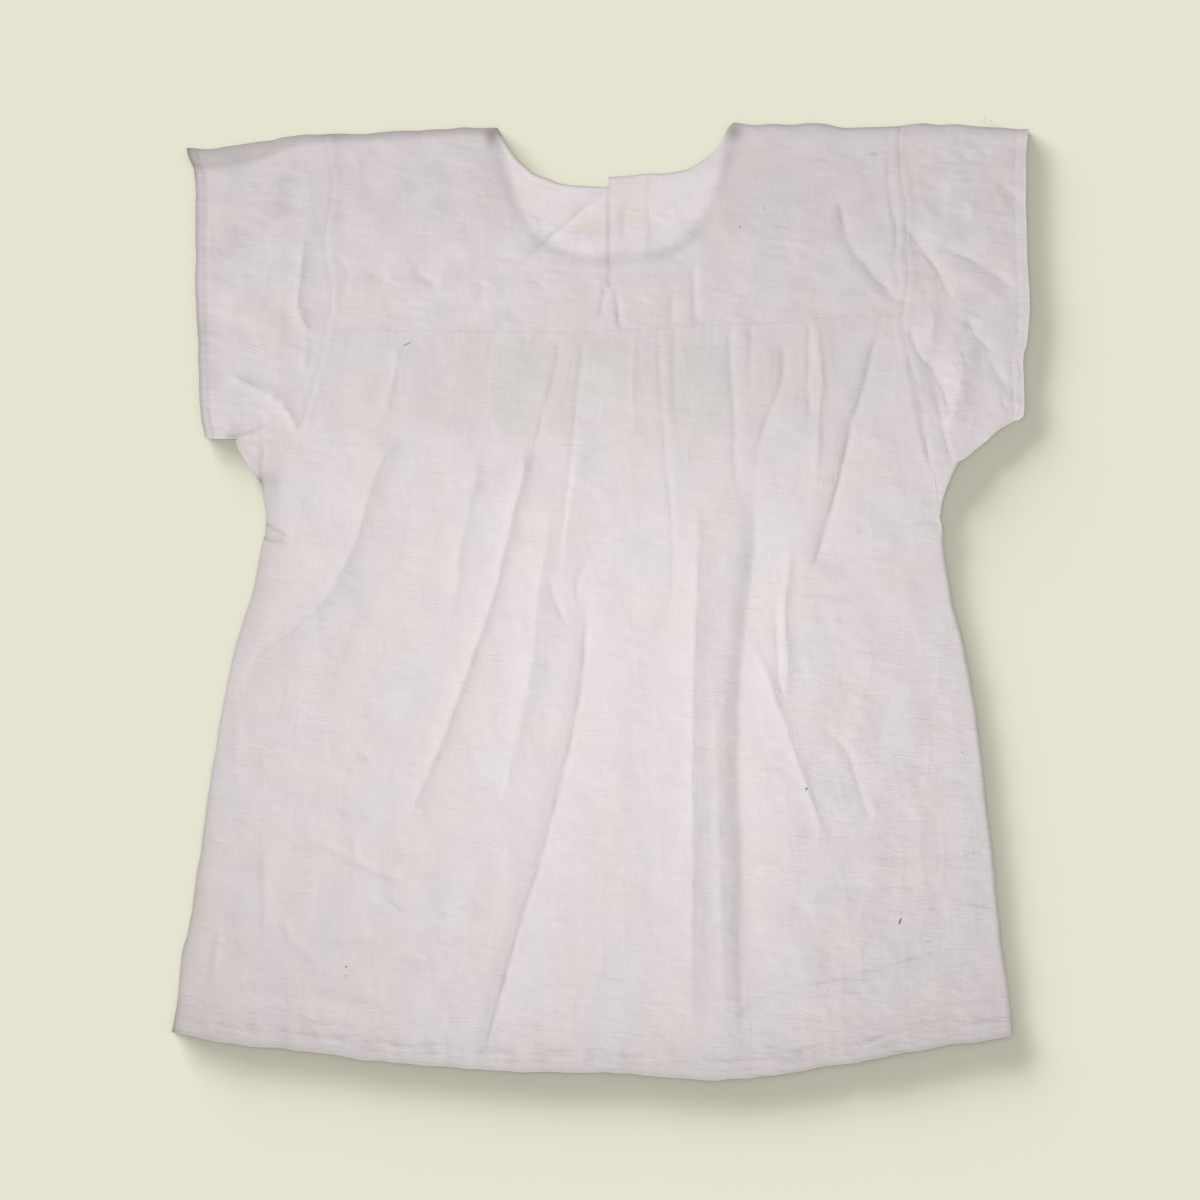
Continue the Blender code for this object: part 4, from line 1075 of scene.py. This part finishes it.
def add_yoke():
    """The upper back. Its halves are one cloth below the slit. Above the slit's foot the right lip rides
    over the left one, which slips under it by the lap."""
    rows, columns_left, columns_right = 110, 146, 154
    left_seam, right_seam, left_top, right_top, left_arm, right_arm = yoke_edges(rows)
    v = edged(rows)
    low = left_seam[-1, 1]
    foot_row = int(round((rows - 1) * (SLIT_FOOT - low) / (left_top[-1, 1] - low)))
    climb = np.clip((v - v[foot_row]) / (1 - v[foot_row]), 0.0, 1.0)
    below = low + (SLIT_FOOT - low) * np.clip(v / v[foot_row], 0.0, 1.0)
    lip_left = np.column_stack((np.full(rows, SLIT_X), below + climb * (left_top[-1, 1] - SLIT_FOOT)))
    lip_right = np.column_stack((np.full(rows, SLIT_X), below + climb * (right_top[0, 1] - SLIT_FOOT)))
    share_left = edged(columns_left)
    share_right = edged(columns_right)
    left_ends = [resampled(line, share_left) for line in (left_seam, left_top)]
    right_ends = [resampled(line, share_right) for line in (right_seam, right_top)]
    left_plan = patch(*left_ends, left_arm, lip_left)
    right_plan = patch(*right_ends, lip_right, right_arm)
    lift = smooth(climb / 0.25)[:, None]
    left_plan[..., 0] += SLIT_LAP * lift * smooth(1 - (SLIT_X - left_plan[..., 0]) / 24)
    xl, yl = left_plan[..., 0], left_plan[..., 1]
    xr, yr = right_plan[..., 0], right_plan[..., 1]
    zl = yoke_height(xl, yl, LEFT_SHOULDER, NECK_LEFT)
    zr = yoke_height(xr, yr, RIGHT_SHOULDER, NECK_RIGHT)
    # Beside the slit the right lip rides up over the left one, which sinks a little under it.
    zr = zr + lift * bell(xr - SLIT_X, 13.0)
    zl = zl - 0.35 * lift * bell(xl - SLIT_X - 2, 9.0)
    index_left = np.arange(xl.size).reshape(xl.shape)
    index_right = xl.size + np.arange(xr.size).reshape(xr.shape)
    index_right[: foot_row + 1, 0] = index_left[: foot_row + 1, -1]
    x = np.concatenate((xl.ravel(), xr.ravel()))
    y = np.concatenate((yl.ravel(), yr.ravel()))
    z = np.concatenate((zl.ravel(), zr.ravel()))
    quads = np.vstack((quads_of(index_left), quads_of(index_right)))
    used, quads = np.unique(quads, return_inverse=True)
    quads = quads.reshape(-1, 4)
    vertices = np.column_stack((x, y, z))[used]
    tint = cloth_tint_and_painted_light(x, y)[used]
    piece = new_piece("back_yoke_cloth", vertices, quads, cotton_gauze(), "back_yoke", tint)
    thicken(piece, sizes().wall)


def cuff_height(y, z, from_cuff):
    """A height over the turned cuff, made like the hem's: flatter, doubled, stitched down and gathered."""
    above = from_cuff - sizes().cuff / MM
    z = z - (z - 2.3) * 0.7 * bell(from_cuff, 14)
    z = z + 0.3 * smooth((0.8 - above) / 2.0) - 0.4 * bell(above, 1.0)
    return z + pucker(y, above, CUFF_GATHERS)


def add_sleeve(name, solid, plan, cuff_first):
    """A flat tube. The upper layer is the common height field, rounded down at the fold on top and at the
    seam below, and the lower layer lies level on the ground. Plan rows run from the seam up to the fold."""
    s = sizes()
    x, y = plan[..., 0], plan[..., 1]
    from_seam = np.linalg.norm(plan - plan[:1], axis=-1)
    from_fold = np.linalg.norm(plan - plan[-1:], axis=-1)
    cuff = plan[:, 0] if cuff_first else plan[:, -1]
    from_cuff = np.linalg.norm(plan - cuff[:, None], axis=-1)
    z = cuff_height(y, back_height(x, y) - armhole_dip(x, y), from_cuff)
    fold_edge, seam_edge, ground = 1.3, 2.3, 0.06
    z = z - (z - fold_edge) * (1 - quarter(from_fold / (1.8 * s.roll / MM)))
    z = z - (z - seam_edge) * (1 - quarter(from_seam / 4.0)) * smooth((np.abs(x) - 278) / 5)
    # The lower layer has rows close together at both edges only.
    rows = len(plan)
    picks = np.unique(np.concatenate(([1, 2, 3], np.arange(6, rows - 4, 8), [rows - 4, rows - 3, rows - 2])))
    rise = np.minimum(from_seam[picks], from_fold[picks])
    edge = np.where(from_seam[picks] < from_fold[picks], seam_edge, fold_edge)
    under_z = ground + (edge - ground) * (1 - quarter(rise / 2.5))
    upper = np.stack((x, y, z), axis=-1)
    lower = np.concatenate((plan[picks], under_z[..., None]), axis=-1)[::-1]
    piece = grid_piece(name, np.concatenate((upper, lower), axis=0), solid, closed=True)
    thicken(piece, s.wall)
    return piece


def add_sleeves():
    """Both sleeves, each from its seam below, its fold on top, its cuff and its armhole."""
    rows, columns = 138, 54
    shares = (edged(columns), edged(columns), edged(rows), edged(rows))
    left = (LEFT_SLEEVE_SEAM, LEFT_SLEEVE_TOP, LEFT_CUFF, LEFT_ARMHOLE)
    right = (RIGHT_SLEEVE_SEAM, RIGHT_SLEEVE_TOP, RIGHT_ARMHOLE, RIGHT_CUFF)
    left_plan, right_plan = (
        patch(*(resampled(curve(points, 400), share) for points, share in zip(lines, shares)))
        for lines in (left, right)
    )
    left = add_sleeve("sleeve_left_cloth", "sleeve_left", left_plan, cuff_first=True)
    right = add_sleeve("sleeve_right_cloth", "sleeve_right", right_plan, cuff_first=False)


def add_gusset(name, fold_top, fold_foot, corner, bend):
    """A square folded corner to corner. Its folded edge is a quadratic curve. Its upper layer rises from
    there to the sewn corner, and the lower layer lies on the ground. Its foot slips a little under the
    body's side."""
    start, end, corner, bend = (np.array(point) for point in (fold_top, fold_foot, corner, bend))
    v = np.linspace(0.0, 1.0, 26)[:, None, None]
    u = np.linspace(0.0, 1.0, 16)[None, :, None]
    edge = folded_edge(start, end, bend, v)
    slip, turn, wall = 2.4, 0.45, 0.0005
    slipped = end - (slip * np.sign(end[0]), 0.0)
    upwards = start + (corner - start) * v / turn
    downwards = corner + (slipped - corner) * (v - turn) / (1 - turn)
    plan = edge + u * (np.where(v < turn, upwards, downwards) - edge)
    far = np.linalg.norm(plan - edge, axis=-1)
    upper = 2.1 + (back_height(plan[..., 0], plan[..., 1]) - 2.28) * quarter(far / 5.0)
    lower = 0.08 + 1.9 * (1 - quarter(far / 2.5))
    top = np.concatenate((plan, upper[..., None]), axis=-1)
    base = np.concatenate((plan, lower[..., None]), axis=-1)
    grid = np.concatenate((top[:, ::-1], base[:, 1:]), axis=1)
    piece = grid_piece(name + "_cloth", grid, name, flipped=end[0] > 0)
    thicken(piece, wall)


def spin(name, centre, width):
    """Threads round these centre lines (threads by steps by 3), as closed tubes of six sides. The width at
    each step is a radius in millimetres."""
    count, steps = centre.shape[:2]
    ahead = np.gradient(centre, axis=1)
    ahead /= np.linalg.norm(ahead, axis=-1, keepdims=True)
    across = np.cross(ahead, (0.0, 0.0, 1.0))
    across /= np.linalg.norm(across, axis=-1, keepdims=True)
    up = np.cross(across, ahead)
    turn = (np.arange(6) * np.pi / 3)[None, None, :, None]
    ring = across[:, :, None] * np.cos(turn) + up[:, :, None] * np.sin(turn)
    vertices = centre[:, :, None] + width[None, :, None, None] * ring
    index = np.arange(count * steps * 6).reshape(count, steps, 6)
    wrapped = np.concatenate((index, index[:, :, :1]), axis=2)
    quads = np.stack(
        (wrapped[:, :-1, 1:], wrapped[:, :-1, :-1], wrapped[:, 1:, :-1], wrapped[:, 1:, 1:]), axis=-1
    ).reshape(-1, 4)
    first, last = index[:, 0], index[:, -1]
    caps = [first[:, [0, 1, 2, 3]], first[:, [0, 3, 4, 5]], last[:, [3, 2, 1, 0]], last[:, [5, 4, 3, 0]]]
    return new_piece(name, vertices.reshape(-1, 3), np.vstack([quads] + caps), cotton_thread())


def stitch_line(name, path):
    """A row of stitches, each a small spindle that dips into the cloth at both ends."""
    pitch = sizes().stitch / MM
    far = run(path)
    starts = (np.arange(int(far[-1] // pitch)) + 0.15) * pitch
    steps = np.linspace(0.0, 1.0, 5)
    at = starts[:, None] + steps * pitch * 0.72
    centre = np.stack([np.interp(at, far, path[:, axis]) for axis in range(3)], axis=-1)
    centre[..., 2] += np.sin(np.pi * steps) * 0.18 - 0.10
    return spin(name, centre, sizes().thread / MM * (0.35 + 0.65 * np.sin(np.pi * steps)))


def add_tuft():
    """Loose thread at the top edge of the right sleeve, curled in a few loops."""
    t = np.linspace(0.0, 1.0, 90)
    x = 297 + 9 * (t - 0.5) + 1.9 * np.cos(22 * t) * np.sin(np.pi * t)
    y = 368.6 + 2.6 * np.sin(np.pi * t) + 1.5 * np.sin(19 * t + 0.5) * np.sin(np.pi * t)
    z = 1.4 + 0.5 * np.sin(13 * t)
    return spin("loose_thread", np.column_stack((x, y, z))[None], np.full(90, 0.38))


def add_stitching():
    """Rows of machine stitches along the hem and both cuffs, and the loose thread."""
    s = sizes()
    hem, turn, above = s.hem / MM, s.cuff / MM, 0.10
    line = curve(HEM, 1200)
    line = line[(line[:, 0] > -326) & (line[:, 0] < 312)]
    x, y = line[:, 0], line[:, 1] + hem
    z = hem_height(x, back_height(x, y), hem)
    stitch_line("hem_stitches", np.column_stack((x, y, z + above)))
    for side, cuff, sign in (("left", LEFT_CUFF, 1), ("right", RIGHT_CUFF, -1)):
        edge = curve(cuff, 500)[20:-20]
        x, y = edge[:, 0] + sign * turn, edge[:, 1]
        z = cuff_height(y, back_height(x, y) - 0.1, turn)
        stitch_line(f"cuff_stitches_{side}", np.column_stack((x, y, z + above)))
    add_tuft()


# The camera's frame: pixels across, the size of one in millimetres, and its height in metres
FRAME_PIXELS, PIXEL_MM, CAMERA_HEIGHT = 1200, 0.77, 4.0
SENSOR = 36.0
CAMERA_X, CAMERA_Y = -0.77 * MM, 1.15 * MM


def add_studio():
    """The stage: a plain cream ground, a soft light from the left, an even sky, low soft lights from the
    upper left that only the ground takes and that give its wide shadow, and a camera that looks straight
    down on the blouse."""
    scene = bpy.context.scene
    scene.view_settings.view_transform = "Standard"
    scene.view_settings.look = "None"
    mesh = bpy.data.meshes.new("floor")
    half = 4.0
    corners = [(-half, -half, 0), (half, -half, 0), (half, half, 0), (-half, half, 0)]
    mesh.from_pydata(corners, [], [(0, 1, 2, 3)])
    floor = bpy.data.objects.new("floor", mesh)
    floor.data.materials.append(cream_board())
    scene.collection.objects.link(floor)
    group("ground").objects.link(floor)
    world = bpy.data.worlds.new("studio")
    scene.world = world
    world.use_nodes = True
    background = world.node_tree.nodes["Background"]
    background.inputs["Color"].default_value = (0.99, 1.0, 1.0, 1.0)
    background.inputs["Strength"].default_value = 0.55
    add_sun("key_light", "cloth", 2.08, 0.30, 205.0, 36.0)
    # Seven narrow lamps side by side make one wide soft shadow. Lower ones are stronger, so all light
    # alike.
    for number in range(7):
        azimuth, elevation = 113.0 + 6.5 * number, 4.1 + 0.12 * number
        energy = 0.19 / np.sin(np.radians(elevation))
        add_sun(f"ground_light_{number + 1}", "ground", energy, 0.105, azimuth, elevation)
    add_sun("ground_fill", "ground", 0.23, 0.5, 128.0, 78.0)
    camera_data = bpy.data.cameras.new("camera")
    camera = bpy.data.objects.new("camera", camera_data)
    camera_data.sensor_width = SENSOR
    camera_data.lens = SENSOR * CAMERA_HEIGHT / (FRAME_PIXELS * PIXEL_MM * MM)
    camera.location = (CAMERA_X, CAMERA_Y, CAMERA_HEIGHT)
    scene.collection.objects.link(camera)
    scene.camera = camera


def group(name):
    """A collection that only says which lamp reaches its objects."""
    return bpy.data.collections.get(name) or bpy.data.collections.new(name)


def add_sun(name, reached, energy, spread, azimuth, elevation):
    """A distant soft lamp that reaches one group alone. It stands at this angle from +X round the blouse
    and this high, both in degrees."""
    light = bpy.data.lights.new(name, "SUN")
    light.energy = energy
    light.angle = spread
    light.color = (0.99, 1.0, 1.0)
    lamp = bpy.data.objects.new(name, light)
    lamp.rotation_euler = (0.0, np.radians(90.0 - elevation), np.radians(azimuth))
    lamp.light_linking.receiver_collection = group(reached)
    bpy.context.scene.collection.objects.link(lamp)


class BLOUSE_OT_front(bpy.types.Operator):
    """Lays the flat front on the ground"""

    bl_idname = "blouse.front"
    bl_label = "Front"

    def execute(self, context):
        add_front()
        return {"FINISHED"}


class BLOUSE_OT_skirt(bpy.types.Operator):
    """Lays the pleated lower back with its turned hem"""

    bl_idname = "blouse.skirt"
    bl_label = "Lower back"

    def execute(self, context):
        add_skirt()
        return {"FINISHED"}


class BLOUSE_OT_yoke(bpy.types.Operator):
    """Lays the back yoke with its slit"""

    bl_idname = "blouse.yoke"
    bl_label = "Back yoke"

    def execute(self, context):
        add_yoke()
        return {"FINISHED"}


class BLOUSE_OT_sleeves(bpy.types.Operator):
    """Lays both sleeves as flat tubes"""

    bl_idname = "blouse.sleeves"
    bl_label = "Sleeves"

    def execute(self, context):
        add_sleeves()
        return {"FINISHED"}


class BLOUSE_OT_gussets(bpy.types.Operator):
    """Folds both underarm gussets"""

    bl_idname = "blouse.gussets"
    bl_label = "Gussets"

    def execute(self, context):
        for name, corners in GUSSETS.items():
            add_gusset(name, *corners)
        return {"FINISHED"}


class BLOUSE_OT_stitching(bpy.types.Operator):
    """Sews the rows of stitches"""

    bl_idname = "blouse.stitching"
    bl_label = "Stitching"

    def execute(self, context):
        add_stitching()
        return {"FINISHED"}


class BLOUSE_OT_studio(bpy.types.Operator):
    """Sets up ground, light and camera"""

    bl_idname = "blouse.studio"
    bl_label = "Studio"

    def execute(self, context):
        add_studio()
        return {"FINISHED"}


STEPS = (
    BLOUSE_OT_studio,
    BLOUSE_OT_front,
    BLOUSE_OT_skirt,
    BLOUSE_OT_yoke,
    BLOUSE_OT_sleeves,
    BLOUSE_OT_gussets,
    BLOUSE_OT_stitching,
)


class BLOUSE_PT_panel(bpy.types.Panel):
    """Sizes, colours and steps of the blouse"""

    bl_idname = "BLOUSE_PT_panel"
    bl_label = "Smock blouse"
    bl_space_type = "VIEW_3D"
    bl_region_type = "UI"
    bl_category = "Blouse"

    def draw(self, context):
        for values in (context.scene.blouse_sizes, context.scene.blouse_colours):
            for key in values.__annotations__:
                self.layout.prop(values, key)
        for step in STEPS:
            self.layout.operator(step.bl_idname)


CLASSES = (BlouseSizes, BlouseColours, *STEPS, BLOUSE_PT_panel)


def register():
    for kind in CLASSES:
        bpy.utils.register_class(kind)
    bpy.types.Scene.blouse_sizes = PointerProperty(type=BlouseSizes)
    bpy.types.Scene.blouse_colours = PointerProperty(type=BlouseColours)


def unregister():
    del bpy.types.Scene.blouse_colours
    del bpy.types.Scene.blouse_sizes
    for kind in reversed(CLASSES):
        bpy.utils.unregister_class(kind)


def main():
    register()
    bpy.ops.blouse.studio()
    bpy.ops.blouse.front()
    bpy.ops.blouse.skirt()
    bpy.ops.blouse.yoke()
    bpy.ops.blouse.sleeves()
    bpy.ops.blouse.gussets()
    bpy.ops.blouse.stitching()


if __name__ == "__main__":
    main()
